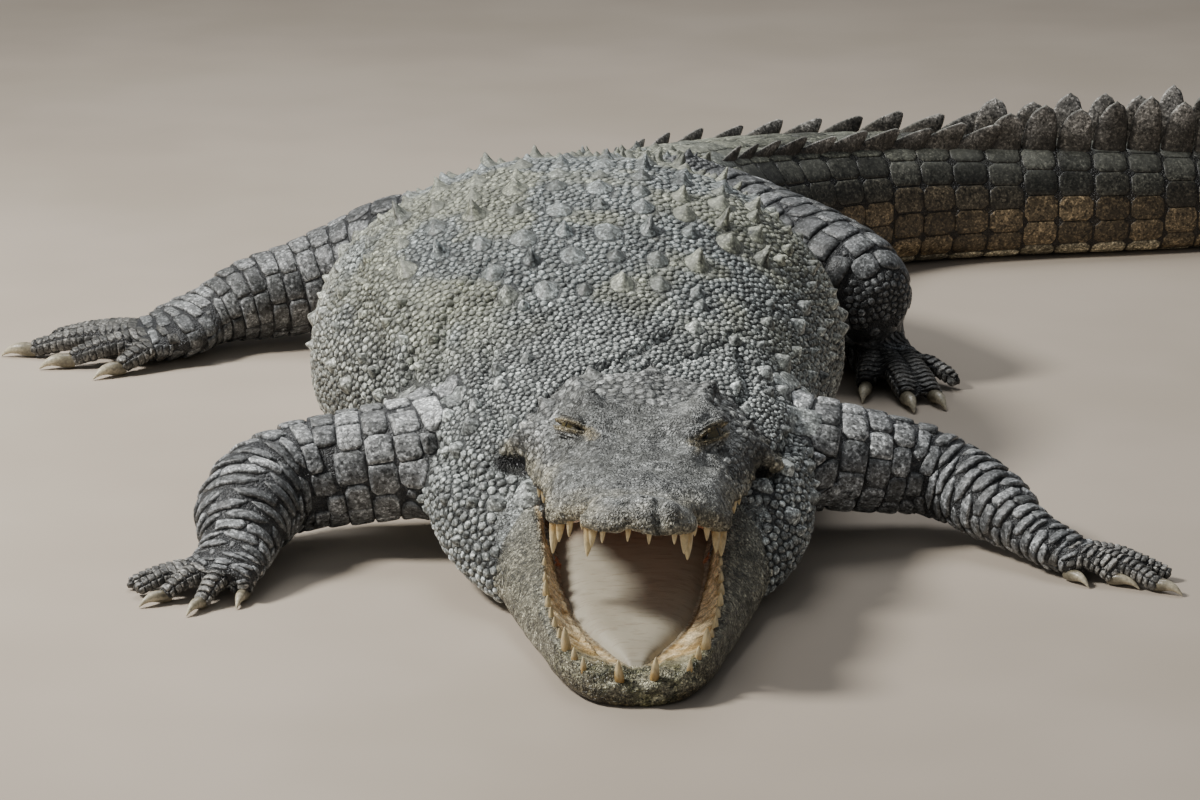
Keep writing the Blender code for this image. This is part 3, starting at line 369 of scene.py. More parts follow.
class Forms:
    """Closed lofts that are gathered into one mesh, each face knowing its form and its place on it."""

    def __init__(self):
        self.points, self.faces, self.place, self.names, self.form = [], [], [], [], []
        self.count = 0

    def add(self, name, rings, at):
        """A closed loft through rings; at is each ring's distance along the form."""
        rings = np.asarray(rings, float)
        count, sides = rings.shape[:2]
        first = self.count
        self.points.append(np.vstack([rings.reshape(-1, 3), rings[0].mean(0), rings[-1].mean(0)]))
        turn = np.tile(np.arange(sides) / sides, count)
        self.place.append(np.column_stack([np.concatenate([np.repeat(at, sides), [at[0], at[-1]]]),
                                           np.concatenate([turn, [0, 0]])]))
        j = np.arange(sides)
        k = (j + 1) % sides
        faces = []
        for i in range(count - 1):
            a, b = first + i * sides, first + (i + 1) * sides
            faces += np.column_stack([a + j, a + k, b + k, b + j]).tolist()
        start, end = first + count * sides, first + count * sides + 1
        faces += np.column_stack([np.full(sides, start), first + k, first + j]).tolist()
        last = first + (count - 1) * sides
        faces += np.column_stack([np.full(sides, end), last + j, last + k]).tolist()
        self.faces += faces
        self.form += [len(self.names)] * len(faces)
        self.names.append(name)
        self.count += count * sides + 2

    def mesh(self, only=None):
        points = np.vstack(self.points)
        faces = [f for f, form in zip(self.faces, self.form) if only is None or self.names[form] in only]
        mesh = bpy.data.meshes.new("forms")
        mesh.from_pydata(points.tolist(), [], faces)
        work = bmesh.new()
        work.from_mesh(mesh)
        bmesh.ops.delete(work, geom=[v for v in work.verts if not v.link_faces], context="VERTS")
        left = set(work.faces)
        while left:
            shell, front = [], [left.pop()]
            while front:
                face = front.pop()
                shell.append(face)
                for edge in face.edges:
                    for other in edge.link_faces:
                        if other in left:
                            left.discard(other)
                            front.append(other)
            volume = 0.0
            for face in shell:
                a = face.verts[0].co
                for b, c in zip(face.verts[1:], face.verts[2:]):
                    volume += a.dot(b.co.cross(c.co))
            if volume < 0:
                bmesh.ops.reverse_faces(work, faces=shell)
        work.to_mesh(mesh)
        work.free()
        return mesh


def across_path(ahead):
    """The level direction to the side of a path and the upward one."""
    side = unit(np.cross(ahead, [0, 0, 1.0]))
    return side, np.cross(side, ahead)


def tube(curve, half_width, half_height, sides, floor=0.0):
    """Rings round a path of (x, y, z) points, kept above the floor so that soles lie flat."""
    curve = np.asarray(curve, float)
    ahead = unit(np.gradient(curve, axis=0))
    side, upward = across_path(ahead)
    turn = np.linspace(0, 2 * math.pi, sides, endpoint=False)
    rings = (curve[:, None]
             + side[:, None] * (np.cos(turn)[None, :, None] * half_width[:, None, None])
             + upward[:, None] * (np.sin(turn)[None, :, None] * half_height[:, None, None]))
    rings[..., 2] = np.maximum(rings[..., 2], floor)
    return rings


def body_section(curve, s, turn, inset=0.0):
    """Points of the body's surface at distances s along the spine and turns (0 at the back, 1 all round)."""
    centre, ahead = along(curve, s)
    side = np.column_stack([ahead[:, 1], -ahead[:, 0]])
    wide = profile(BODY_HALF_WIDTH, s) - inset
    high = profile(BODY_HEIGHT, s) - inset
    waist = high * profile(BODY_WIDEST_AT, s)
    angle = 2 * math.pi * np.asarray(turn)
    across, up = np.sin(angle), np.cos(angle)
    x = wide * np.sign(across) * np.abs(across) ** SIDE_FULLNESS
    over = (high - waist) * np.abs(up) ** BACK_FULLNESS
    under = -(waist + BELLY_FLAT) * np.abs(up) ** BELLY_FULLNESS
    z = np.maximum(waist + np.where(up > 0, over, under), inset * 0.5)
    return np.column_stack([centre[:, 0] + side[:, 0] * x, centre[:, 1] + side[:, 1] * x, z])


def head_frame():
    """From the skull's own frame to the plan."""
    turn = (Matrix.Rotation(HEAD_YAW, 4, "Z") @ Matrix.Rotation(-HEAD_PITCH, 4, "X")
            @ Matrix.Rotation(HEAD_ROLL, 4, "Y"))
    return Matrix.Translation(SNOUT_TIP) @ turn


HEAD = np.array(head_frame())
HEAD_BACK = np.linalg.inv(HEAD)


def moved(matrix, points):
    return points @ matrix[:3, :3].T + matrix[:3, 3]


def lip_line(y):
    """Height of the upper lip, which waves along the tooth row."""
    return sum(depth * bump(y - place, reach) for place, reach, depth in LIP_WAVES)


def skull_surface(x, y):
    """Height of the skull's upper side over its tooth line."""
    share = np.clip(np.abs(x) / profile(SKULL_HALF_WIDTH, y), 0, 1)
    rounded = (1 - share ** profile(SKULL_TOP_BREADTH, y)) ** profile(SKULL_SIDE_STEEPNESS, y)
    high = profile(SKULL_TOP, y)
    high = lip_line(y) + (high - lip_line(y)) * rounded
    for sign in (-1, 1):
        away = np.hypot(x - sign * ORBIT.x, (y - ORBIT.y) * 0.62)
        high = high + ORBIT_RISE * bump(away, ORBIT_REACH) * rounded
    away = np.hypot(x - NOSTRIL_MOUND.x, y - NOSTRIL_MOUND.y)
    return high + MOUND_RISE * bump(away, MOUND_REACH)


def palate(x, y):
    """Height of the roof of the mouth."""
    wide = profile(SKULL_HALF_WIDTH, y)
    arch = lip_line(y) + PALATE_ARCH * (1 - (np.abs(x) / (0.9 * wide)) ** 2) * np.minimum(1.0, y / 0.05)
    return np.minimum(arch, profile(SKULL_TOP, y) - 0.008)


def jaw_middle(y):
    return JAW_TIP_X + JAW_TURN * y


def jaw_side(y):
    wide, lip, line = (profile(k, y) for k in (JAW_HALF_WIDTH, JAW_LIP_HEIGHT, JAW_TOOTH_LINE))
    edge = min(line + 0.008, 0.985 * wide)
    return [(0.0, 0.0), (0.55 * wide, 0.0), (0.86 * wide, 0.06 * lip), (0.985 * wide, 0.26 * lip),
            (wide, 0.48 * lip), (0.35 * edge + 0.65 * wide, 0.76 * lip), (edge, 0.985 * lip)]


def jaw_ring(y, half, per_span):
    right = np.array(half)
    ring = through(np.vstack([right, right[-2:0:-1] * [-1, 1]]), per_span, closed=True)
    return np.column_stack([jaw_middle(y) + ring[:, 0], np.full(len(ring), y), np.maximum(ring[:, 1], 0.0)])


def digit_path(start, tip, radius, root_height, steps):
    """A digit's centre line: it arches over its knuckle and comes down on its pad."""
    steps = np.linspace(0, 1, steps)
    plan = np.outer(1 - steps, start) + np.outer(steps, tip)
    thick = radius * (1 - 0.40 * steps)
    high = root_height * (1 - steps) + KNUCKLE_ARCH * np.sin(math.pi * steps) * 0.6
    z = np.maximum(high, 0) + thick * DIGIT_HEIGHT * 0.86
    return np.column_stack([plan, z]), thick


def limb_curve(name, per_span=12):
    """Path, half width and half height of a limb, and the distance along it."""
    rows = np.array([[*place, wide, high] for place, wide, high in LIMBS[name]])
    dense = through(rows, per_span)
    reach = distances(dense[:, :3])
    return dense[:, :3], dense[:, 3], dense[:, 4], reach


def whorls():
    """The start of each ring of tail scales, and the length of each."""
    count = WHORLS_DOUBLE + WHORLS_SINGLE
    pitches = np.linspace(1.0, WHORL_TAPER, count)
    pitches *= (BODY_HALF_WIDTH[-1][0] - TRUNK_ENDS_AT) / pitches.sum()
    return TRUNK_ENDS_AT + np.concatenate([[0], np.cumsum(pitches)[:-1]]), pitches


CURVE = through(SPINE)


def skull_ring(y):
    """The skull's outline at y: over its upper side and back along the roof of the mouth."""
    wide = profile(SKULL_HALF_WIDTH, y)
    over, under = np.cos(np.linspace(0, math.pi, 61)), np.linspace(-0.94, 0.94, 27)
    x = np.concatenate([wide * over, wide * under])
    z = np.concatenate([skull_surface(wide * over, y), palate(wide * under, y)])
    return moved(HEAD, np.column_stack([x, np.full(len(x), y), z]))


def jaw_section(y):
    """The lower jaw's outline at y: its side, the gum and the floor of the mouth."""
    lip, line = profile(JAW_LIP_HEIGHT, y), profile(JAW_TOOTH_LINE, y)
    floor = min(profile(MOUTH_FLOOR, y), lip - 0.004)
    floor += (lip - floor) * ease(MOUTH_ENDS - 0.012, MOUTH_ENDS + 0.004, y)
    inner = min(profile(GUM_INNER, y), line - 0.014)
    top = [(line - 0.006, lip), (0.5 * (line + inner), lip - 0.30 * (lip - floor)),
           (inner, lip - 0.80 * (lip - floor)), (0.92 * inner, floor), (0.45 * inner, floor), (0.0, floor)]
    return jaw_ring(y, jaw_side(y) + top, 5)


def flesh_forms(depth, thin):
    """All forms of flesh, with the coat's depth taken off the body and a thinner one off the limbs."""
    forms = Forms()
    turn = np.arange(BODY_SIDES) / BODY_SIDES
    for name, start, end in (("neck", 0.0, NECK_FORM_ENDS), ("body", BODY_FORM_STARTS, BODY_LENGTH)):
        at = np.arange(start, end, RING_STEP)
        inset = depth * ease(0.02, 0.12, at) * (0.35 + 0.65 * ease(BODY_LENGTH, 2.6, at))
        forms.add(name, [body_section(CURVE, np.full(BODY_SIDES, s), turn, d) for s, d in zip(at, inset)], at)
    at = np.linspace(0, SKULL_LENGTH, 126)
    forms.add("skull", [skull_ring(y) for y in at], at)
    at = np.linspace(0, JAW_LENGTH, 107)
    forms.add("jaw", [jaw_section(y) for y in at], at)
    for name in LIMBS:
        path, wide, high, reach = limb_curve(name)
        forms.add(name, tube(path, wide - thin, high - thin, LIMB_SIDES, thin * 0.5), reach)
        for number, digit in enumerate(DIGITS.get(name, [])):
            path, thick = digit_path(*digit, ANKLE_HEIGHT, DIGIT_STEPS)
            thick = thick - DIGIT_COAT
            rings = tube(path, thick, thick * DIGIT_HEIGHT, DIGIT_SIDES, DIGIT_COAT * 0.5)
            forms.add(f"{name}_{number}", rings, np.linspace(0, 1, DIGIT_STEPS))
    return forms


def mouth_cavity():
    """The room between the jaws that the neck keeps out of, up to the back of the mouth."""
    forms = Forms()
    at = np.linspace(0.28, MOUTH_ENDS, 24)
    rings = []
    for y in at:
        wide = profile(GUM_INNER, y)
        half = [(0.0, 0.04), (0.6 * wide, 0.04), (wide, 0.09), (0.96 * wide, 0.13), (0.70 * wide, 0.19),
                (0.0, 0.20)]
        rings.append(jaw_ring(y, half, 5))
    forms.add("cavity", rings, at)
    return forms


# ---------------------------------------------------------------- skin


def stretched(points, back=False):
    """Widens the space round the head, so that one voxel size gives the head finer faces than the body."""
    y = np.linspace(-0.4, 3.0, 6801)
    factor = 1 + HEAD_FINENESS * (1 - ease(0.44, 0.62, y))
    reach = np.concatenate([[0], np.cumsum((factor[1:] + factor[:-1]) / 2 * np.diff(y))])
    if not back:
        scale = np.interp(points[:, 1], y, factor)
        place = np.interp(points[:, 1], y, reach)
        return np.column_stack([points[:, 0] * scale, place, points[:, 2] * scale])
    place = np.interp(points[:, 1], reach, y)
    scale = np.interp(place, y, factor)
    return np.column_stack([points[:, 0] / scale, place, points[:, 2] / scale])


def placed(name, data):
    """A new object in the scene."""
    made = bpy.data.objects.new(name, data)
    bpy.context.scene.collection.objects.link(made)
    return made


def evaluated(holder):
    """The mesh that a holder's modifier makes; the holder is removed."""
    graph = bpy.context.evaluated_depsgraph_get()
    graph.update()
    result = bpy.data.meshes.new_from_object(holder.evaluated_get(graph))
    bpy.data.objects.remove(holder)
    return result


def listed(collection, attribute, width, kind=float):
    """One attribute of every item of a mesh's collection, in rows of that width."""
    flat = np.empty(len(collection) * width, dtype=kind)
    collection.foreach_get(attribute, flat)
    return flat.reshape(-1, width)


def points_of(mesh):
    return listed(mesh.vertices, "co", 3)


def place_points(mesh, points):
    mesh.vertices.foreach_set("co", np.ascontiguousarray(points, dtype=np.float64).ravel())
    mesh.update()


def normals_of(mesh):
    return listed(mesh.vertex_normals, "vector", 3)


def modified(mesh, kind, **settings):
    """A new mesh from one modifier on a mesh."""
    holder = placed("holder", mesh)
    modifier = holder.modifiers.new("make", kind)
    for name, value in settings.items():
        setattr(modifier, name, value)
    return evaluated(holder)


def less(mesh, cutter):
    """A mesh with another taken out of it."""
    other = placed("cutter", cutter)
    result = modified(mesh, "BOOLEAN", operation="DIFFERENCE", solver="EXACT", object=other)
    bpy.data.objects.remove(other)
    return result


def relaxed(points, edges, weight, rounds):
    """Moves each point towards the middle of its neighbours, by its weight."""
    count = np.bincount(edges.ravel(), minlength=len(points)).astype(float)[:, None]
    points = points.copy()
    for _ in range(rounds):
        total = np.zeros_like(points)
        for k in range(3):
            total[:, k] = (np.bincount(edges[:, 0], points[edges[:, 1], k], len(points))
                           + np.bincount(edges[:, 1], points[edges[:, 0], k], len(points)))
        points += weight[:, None] * (total / np.maximum(count, 1) - points)
    return points


def edges_of(mesh):
    return listed(mesh.edges, "vertices", 2, np.int64)


class Lookup:
    """Tells which form a point of the skin belongs to, and where on that form it is."""

    def __init__(self, forms):
        self.tree = BVHTree.FromPolygons(np.vstack(forms.points).tolist(), forms.faces)
        place = np.vstack(forms.place)
        first = np.array([f[0] if len(f) == 4 else f[1] for f in forms.faces])
        self.place, self.form = place[first], np.array(forms.form)
        self.names = forms.names

    def at(self, points):
        faces = [self.tree.find_nearest(p)[2] for p in points.tolist()]
        faces = np.array([0 if f is None else f for f in faces])
        return self.form[faces], self.place[faces]

    def snapped(self, points, normals, chosen, reach):
        """Puts the chosen points back on the forms, where the form faces the same way."""
        points = points.copy()
        for i in np.nonzero(chosen)[0]:
            spot, _, _, away = self.tree.find_nearest(points[i].tolist(), reach)
            if spot is not None and away > 1e-5 and (np.array(spot) - points[i]) @ normals[i] > 0.5 * away:
                points[i] = spot
        return points


def is_form(lookup, form, *names):
    wanted = [i for i, n in enumerate(lookup.names) if any(n == m or n.startswith(m + "_") for m in names)]
    return np.isin(form, wanted)


EYES = {side: moved(HEAD, np.array([[sign * EYE_CENTRE.x, EYE_CENTRE.y, EYE_CENTRE.z]]))[0]
        for side, sign in (("right", -1), ("left", 1))}
LID_OPENING = {"right": math.radians(8), "left": math.radians(16)}  # half the angle between the lids


def eye_axes(side):
    """Outward gaze, along the slit, and up across it, for the eye on that side."""
    sign = -1 if side == "right" else 1
    gaze = unit(np.array([0.60 * sign, -0.62, 0.50]))
    slit = unit(np.array([-0.78 * sign, -0.60, -0.05 if side == "right" else -0.20]))
    slit = unit(slit - gaze * (slit @ gaze))
    up = np.cross(slit, gaze)
    up = up if up[2] > 0 else -up
    return gaze, slit, up


def lid_shape(points, side):
    """Distance from the eye's centre, angle off the gaze, height and place along the slit between the lids
    (as angles), and how far outside the slit each point is, below 0 inside it."""
    gaze, slit, up = eye_axes(side)
    away = points - EYES[side]
    away = away - slit * ((away @ slit) * (1 - 1 / LID_LENGTH))[:, None]
    reach = np.linalg.norm(away, axis=1)
    d = away / np.maximum(reach, 1e-6)[:, None]
    off, over, across = (turn(np.clip(d @ axis, -1, 1)) for turn, axis in
                         ((np.arccos, gaze), (np.arcsin, up), (np.arcsin, slit)))
    corner = math.radians(62)
    opening = LID_OPENING[side] * np.clip(1 - (across / corner) ** 2, 0, 1)
    inside = np.abs(over + math.radians(3)) - opening
    inside = np.where(np.abs(across) > corner, np.abs(across) - corner + np.abs(over), inside)
    return reach, off, over, across, inside


def lid_lines(points, over):
    """The fine creases that run along the lids, from -1 to 1."""
    return np.sin(over * 30 + 2.5 * rough(points, 0.012, 71, 2))


def with_lids(points):
    """Opens a slit between two thick lids over each eyeball."""
    points = points.copy()
    for side in EYES:
        reach, off, over, across, inside = lid_shape(points, side)
        near = (off < math.radians(80)) & (reach < 0.060)
        lid = EYE_RADIUS + 0.0034 + 0.0012 * np.sin(np.clip(over * 9, -4, 4)) ** 2
        lid = lid + 0.0030 * bump(over - 0.62, 0.30) * bump(across, 0.9)
        lid = lid + 0.0009 * lid_lines(points, over) * ease(0.08, 0.25, np.abs(inside))
        lid = lid + 0.0011 * bump(inside - 0.07, 0.07) * (1 + 0.7 * rough(points, 0.005, 72, 1))
        sunk = EYE_RADIUS - 0.0035
        wanted = sunk + (lid - sunk) * ease(-0.05, 0.07, inside)
        keep = ease(math.radians(42), math.radians(74), off)
        new = wanted * (1 - keep) + reach * keep
        scale = np.where(near, new / np.maximum(reach, 1e-6), 1.0)
        points = EYES[side] + (points - EYES[side]) * scale[:, None]
    return points


def line_distance(points, line):
    """Distance of each point from a broken line, in plan or in space as the line is given."""
    points, line = points[:, :len(line[0])], np.array(line)
    best = np.full(len(points), FAR)
    for a, b in zip(line, line[1:]):
        t = np.clip(((points - a) @ (b - a)) / ((b - a) @ (b - a)), 0, 1)
        best = np.minimum(best, np.linalg.norm(points - (a + t[:, None] * (b - a)), axis=1))
    return best


def skull_lift(q, n, skull):
    """How far bone, creases and the sockets of the upper teeth raise the skin of the skull."""
    top = skull & (n[:, 2] > -0.25)
    x, y = np.abs(q[:, 0]), q[:, 1]
    half = np.column_stack([x, y])
    lift = top * (0.0022 * rough(q, 0.045, 1) + 0.0018 * rough(q, 0.015, 2, 2)) * ease(0.0, 0.03, y)
    lift += top * 0.0026 * bump(line_distance(half, SNOUT_RIDGE), 0.011) * ease(0.12, 0.24, y)
    for line, height, reach in SKULL_RIDGES:
        lift += top * height * bump(line_distance(half, line), reach)
    for spot, height, reach in SKULL_KNOBS:
        lift += top * height * bump(np.hypot(q[:, 0] - spot[0], y - spot[1]), reach)
    lift += 0.0110 * bump(arch_distance(q), 0.013)
    lift += top * (0.0022 * np.abs(rough(q, 0.022, 7, 3)) - 0.0010) * ease(0.34, 0.40, y)
    lift -= top * 0.0020 * bump(np.sin(95 * y + 3 * rough(q, 0.05, 12, 2)), 0.35) * ease(0.36, 0.42, y)
    lift -= top * 0.0040 * bump(np.hypot(x - 0.030, y - 0.42), 0.028)
    lift += top * 0.0030 * bump(x, 0.012) * ease(0.36, 0.40, y)
    lift -= (y > SKULL_REAR) * 0.014 * hollow(q)
    lip = skull & (q[:, 2] - lip_line(y) < 0.020)
    for place, length in UPPER_TEETH:
        lift += lip * (n[:, 2] < 0.4) * (0.0010 + 0.07 * length) * bump(y - place, 0.0075) * (x > 0.015)
    return lift


def nose_lift(q, n, skull):
    """How far the bump on the snout, the crease behind the nose and the nostrils raise the skin."""
    top = skull & (n[:, 2] > -0.25)
    x, y = q[:, 0], q[:, 1]
    lift = top * 0.0060 * bump(np.hypot(x - 0.004, (y - 0.150) * 0.9), 0.013)
    lift -= top * 0.0045 * bump(line_distance(q, NOSE_CREASE), 0.0065)
    lift -= top * 0.0040 * bump(x, 0.020) * bump(y - 0.088, 0.014)
    lift += skull * 0.0085 * bump(np.hypot(x - 0.038, y - 0.028), 0.016) * (n[:, 2] > -0.4)
    notch = np.abs(x - 0.0225 + 0.10 * (y - 0.01))
    lift -= skull * 0.0085 * bump(notch, 0.0048) * (1 - ease(0.018, 0.052, y)) * (n[:, 2] > -0.6)
    lift -= skull * 0.0040 * bump(np.abs(x + 0.014), 0.006) * (1 - ease(0.006, 0.020, y)) * (q[:, 2] < 0.016)
    for spot, size in NOSTRILS:
        pit = nostril_distance(q, spot, size)
        rim = pit * size / 0.0110
        lift += top * (0.0040 * bump(rim, 1.0) - 0.0120 * np.exp(-pit**3))
    return lift


def nostril_distance(q, spot, size):
    """Distance from a nostril's middle, where 1 is its edge."""
    return np.hypot((q[:, 0] - spot[0]) / size, (q[:, 1] - spot[1]) / (1.2 * size))


def jaw_lift(points, normals, jaw):
    """How far sockets, gums and the crust round the front teeth raise the skin of the lower jaw."""
    y = points[:, 1]
    across = np.abs(points[:, 0] - jaw_middle(y))
    inner, line = profile(GUM_INNER, y), profile(JAW_TOOTH_LINE, y)
    lift = jaw * (y < BARE_JAW_ENDS) * 0.0008 * rough(points, 0.020, 5)
    on_rim = jaw * ease(0.2, 0.7, normals[:, 2]) * bump(across - line, 0.012)
    for place, length in LOWER_TEETH:
        lift += on_rim * (0.0022 + 0.10 * length) * bump(y - place, 0.0085)
    lift += on_rim * (0.0016 * rough(points, 0.009, 6, 2)) * (y < 0.30)
    strip = jaw * (normals[:, 2] > 0.1) * ease(-0.004, 0.004, across - inner) * (across < line)
    along_gum = points * [0.5, 1.6, 1.0]
    lift += strip * (0.0016 * rough(along_gum, 0.012, 8, 3) + 0.0010 * np.sin(260 * y + 60 * across))
    lift += jaw * (normals[:, 2] > 0.1) * 0.0030 * bump(across - inner - 0.002, 0.0035) * ease(0.045, 0.07, y)
    front = jaw * (y < 0.075) * (normals[:, 2] > -0.1) * (1 - ease(0.045, 0.075, y))
    return lift + front * (0.0036 * rough(points, 0.014, 9, 3) + 0.0014 * rough(points, 0.007, 10, 1))


def sculpted(points, normals, lookup, form):
    """Bone, folds, lips, nostrils and lids of the head, and the folds of the body."""
    q, n = moved(HEAD_BACK, points), normals @ HEAD[:3, :3]
    skull = is_form(lookup, form, "skull") & (q[:, 1] > -0.02)
    lift = skull_lift(q, n, skull) + nose_lift(q, n, skull)
    lift += jaw_lift(points, normals, is_form(lookup, form, "jaw"))
    points = points + normals * lift[:, None]
    mask = (normals[:, 2] > -0.2) & is_form(lookup, form, "neck", "body")
    for line, depth, reach in FOLDS:
        away = line_distance(points, line)
        fold = depth * 0.5 * bump(away, reach * 2.6) - depth * 1.5 * bump(away, reach)
        points = points + normals * (mask * fold)[:, None]
    return with_lids(points)


def arch_distance(q):
    """Distance from the arch of the cheekbone that roofs the hollow, in the head's own frame."""
    return line_distance(np.column_stack([np.abs(q[:, 0]), q[:, 1:]]), CHEEK_ARCH)


def hollow(q):
    """How far in the hollow behind the corner of the mouth points lie, from 0 to 1, in the head's frame."""
    away = np.column_stack([np.abs(q[:, 0]), q[:, 1:]]) - HOLLOW_CENTRE
    return bump(np.linalg.norm(away / HOLLOW_REACH, axis=1), 1.0) * ease(0.004, 0.012, arch_distance(q))


# Folds of the hide as (line in plan, depth, reach).
FOLDS = [
    ([(-0.075, 0.535), (-0.030, 0.583), (0.030, 0.622), (0.095, 0.705)], 0.012, 0.006),
    ([(-0.165, 0.45), (-0.205, 0.54), (-0.235, 0.62)], 0.011, 0.010),
    ([(0.215, 0.46), (0.245, 0.55), (0.262, 0.63)], 0.011, 0.010),
    ([(-0.120, 0.50), (-0.150, 0.60), (-0.145, 0.70)], 0.008, 0.009),
    ([(0.170, 0.52), (0.195, 0.62), (0.185, 0.72)], 0.008, 0.009),
    ([(-0.235, 0.56), (-0.262, 0.66), (-0.250, 0.76)], 0.008, 0.010),
    ([(-0.180, 0.60), (-0.215, 0.70), (-0.200, 0.80), (-0.150, 0.86)], 0.006, 0.009),
    ([(-0.020, 0.66), (-0.070, 0.74), (-0.150, 0.79)], 0.005, 0.008),
    ([(0.060, 0.60), (0.130, 0.66), (0.190, 0.76)], 0.005, 0.008),
    ([(-0.290, 0.78), (-0.330, 0.90), (-0.345, 1.02)], 0.005, 0.014),
]


def refined(mesh, centres):
    """Halves the faces near each (centre, reach)."""
    work = bmesh.new()
    work.from_mesh(mesh)
    edges = [e for e in work.edges
             if any(((e.verts[0].co + e.verts[1].co) / 2 - c).length < reach for c, reach in centres)]
    bmesh.ops.subdivide_edges(work, edges=edges, cuts=1, use_grid_fill=True)
    work.to_mesh(mesh)
    work.free()


def unwrapped(mesh):
    """Lays out the skin's own shape as the UV map that the coat's roots share."""
    holder = placed("holder", mesh)
    bpy.context.view_layer.objects.active = holder
    holder.select_set(True)
    mesh.uv_layers.new(name="OFBake")
    bpy.ops.object.mode_set(mode="EDIT")
    bpy.ops.mesh.select_all(action="SELECT")
    bpy.ops.uv.smart_project(angle_limit=math.radians(75), island_margin=0.001)
    bpy.ops.object.mode_set(mode="OBJECT")
    bpy.data.objects.remove(holder)


class Hide:
    """The finished skin, in plan coordinates, with what the coat needs to know about each spot."""

    def __init__(self, voxel, depth, thin):
        forms = flesh_forms(depth, thin)
        self.lookup = Lookup(forms)
        self.mesh = self.joined(forms, voxel)
        self.smooth_flesh()
        toes = [(Vector(p), 1.5 * digit[2]) for foot, digits in DIGITS.items() if foot.startswith("hind")
                for digit in digits for p in digit_path(*digit, ANKLE_HEIGHT, 5)[0]]
        refined(self.mesh, toes)
        self.smooth_limbs()
        eyes = [Vector(c) for c in EYES.values()]
        nose = Vector(moved(HEAD, NOSE[None])[0])
        refined(self.mesh, [*((c, 0.036) for c in eyes), (nose, 0.026)])
        refined(self.mesh, [(c, 0.031) for c in eyes])
        form, _ = self.lookup.at(points_of(self.mesh))
        self.settle(sculpted(points_of(self.mesh), normals_of(self.mesh), self.lookup, form))
        self.measure()

    @staticmethod
    def joined(forms, voxel):
        """One closed skin over all the forms, finer at the head."""
        neck = less(forms.mesh({"neck"}), mouth_cavity().mesh())
        rest = forms.mesh(set(forms.names) - {"neck"})
        work = bmesh.new()
        work.from_mesh(neck)
        work.from_mesh(rest)
        work.to_mesh(rest)
        work.free()
        place_points(rest, stretched(points_of(rest)))
        mesh = modified(rest, "REMESH", mode="VOXEL", voxel_size=voxel, adaptivity=0.0)
        place_points(mesh, stretched(points_of(mesh), back=True))
        return mesh

    def settle(self, points):
        """Moves the skin's points, none of them below the ground."""
        points[:, 2] = np.maximum(points[:, 2], 0.0)
        place_points(self.mesh, points)

    def smooth_flesh(self):
        """Smooths the steps between the forms, least at the head."""
        points, edges = points_of(self.mesh), edges_of(self.mesh)
        form, _ = self.lookup.at(points)
        head = is_form(self.lookup, form, "skull", "jaw")
        points = relaxed(points, edges, np.where(head, 0.45, 0.5), 2)
        points = relaxed(points, edges, np.where(head | (points[:, 1] < BARE_JAW_ENDS), 0.0, 0.5), 6)
        place_points(self.mesh, points)

    def smooth_limbs(self):
        """Puts the limbs' skin back on their forms, so that wrists and toes keep their shape."""
        points, edges = points_of(self.mesh), edges_of(self.mesh)
        form, _ = self.lookup.at(points)
        limb = ~is_form(self.lookup, form, "skull", "jaw", "body", "neck")
        points = self.lookup.snapped(points, normals_of(self.mesh), limb, 0.014)
        self.settle(relaxed(points, edges, np.where(limb, 0.35, 0.0), 1))

    def measure(self):
        """Keeps the skin's points, faces, forms and unwrap for looking up."""
        mesh = self.mesh
        mesh.calc_loop_triangles()
        self.triangles = listed(mesh.loop_triangles, "vertices", 3, np.int64)
        self.loops = listed(mesh.loop_triangles, "loops", 3, np.int64)
        self.points, self.normals = points_of(mesh), normals_of(mesh)
        self.form, self.place = self.lookup.at(self.points)
        self.tree = BVHTree.FromPolygons(self.points.tolist(), self.triangles.tolist())
        unwrapped(mesh)
        self.uv = listed(mesh.uv_layers["OFBake"].data, "uv", 2)

    def nearest(self, points):
        """Nearest place on the skin for each point: position, smooth normal, triangle and distance."""
        found = [self.tree.find_nearest(p) for p in np.asarray(points).tolist()]
        place = np.array([f[0] for f in found])
        face = np.array([f[2] for f in found])
        corners = self.triangles[face]
        a, b, c = (self.points[corners[:, k]] for k in range(3))
        ab, ac, ap = b - a, c - a, place - a
        d00, d01, d11 = (ab * ab).sum(1), (ab * ac).sum(1), (ac * ac).sum(1)
        d20, d21 = (ap * ab).sum(1), (ap * ac).sum(1)
        scale = np.maximum(d00 * d11 - d01 * d01, 1e-18)
        v = np.clip((d11 * d20 - d01 * d21) / scale, 0, 1)
        w = np.clip((d00 * d21 - d01 * d20) / scale, 0, 1)
        share = np.column_stack([1 - v - w, v, w])
        normal = unit((self.normals[corners] * share[:, :, None]).sum(1))
        return place, normal, face, share, np.array([f[3] for f in found])

    def uv_at(self, face, share):
        return (self.uv[self.loops[face]] * share[:, :, None]).sum(1)


# ---------------------------------------------------------------- markings


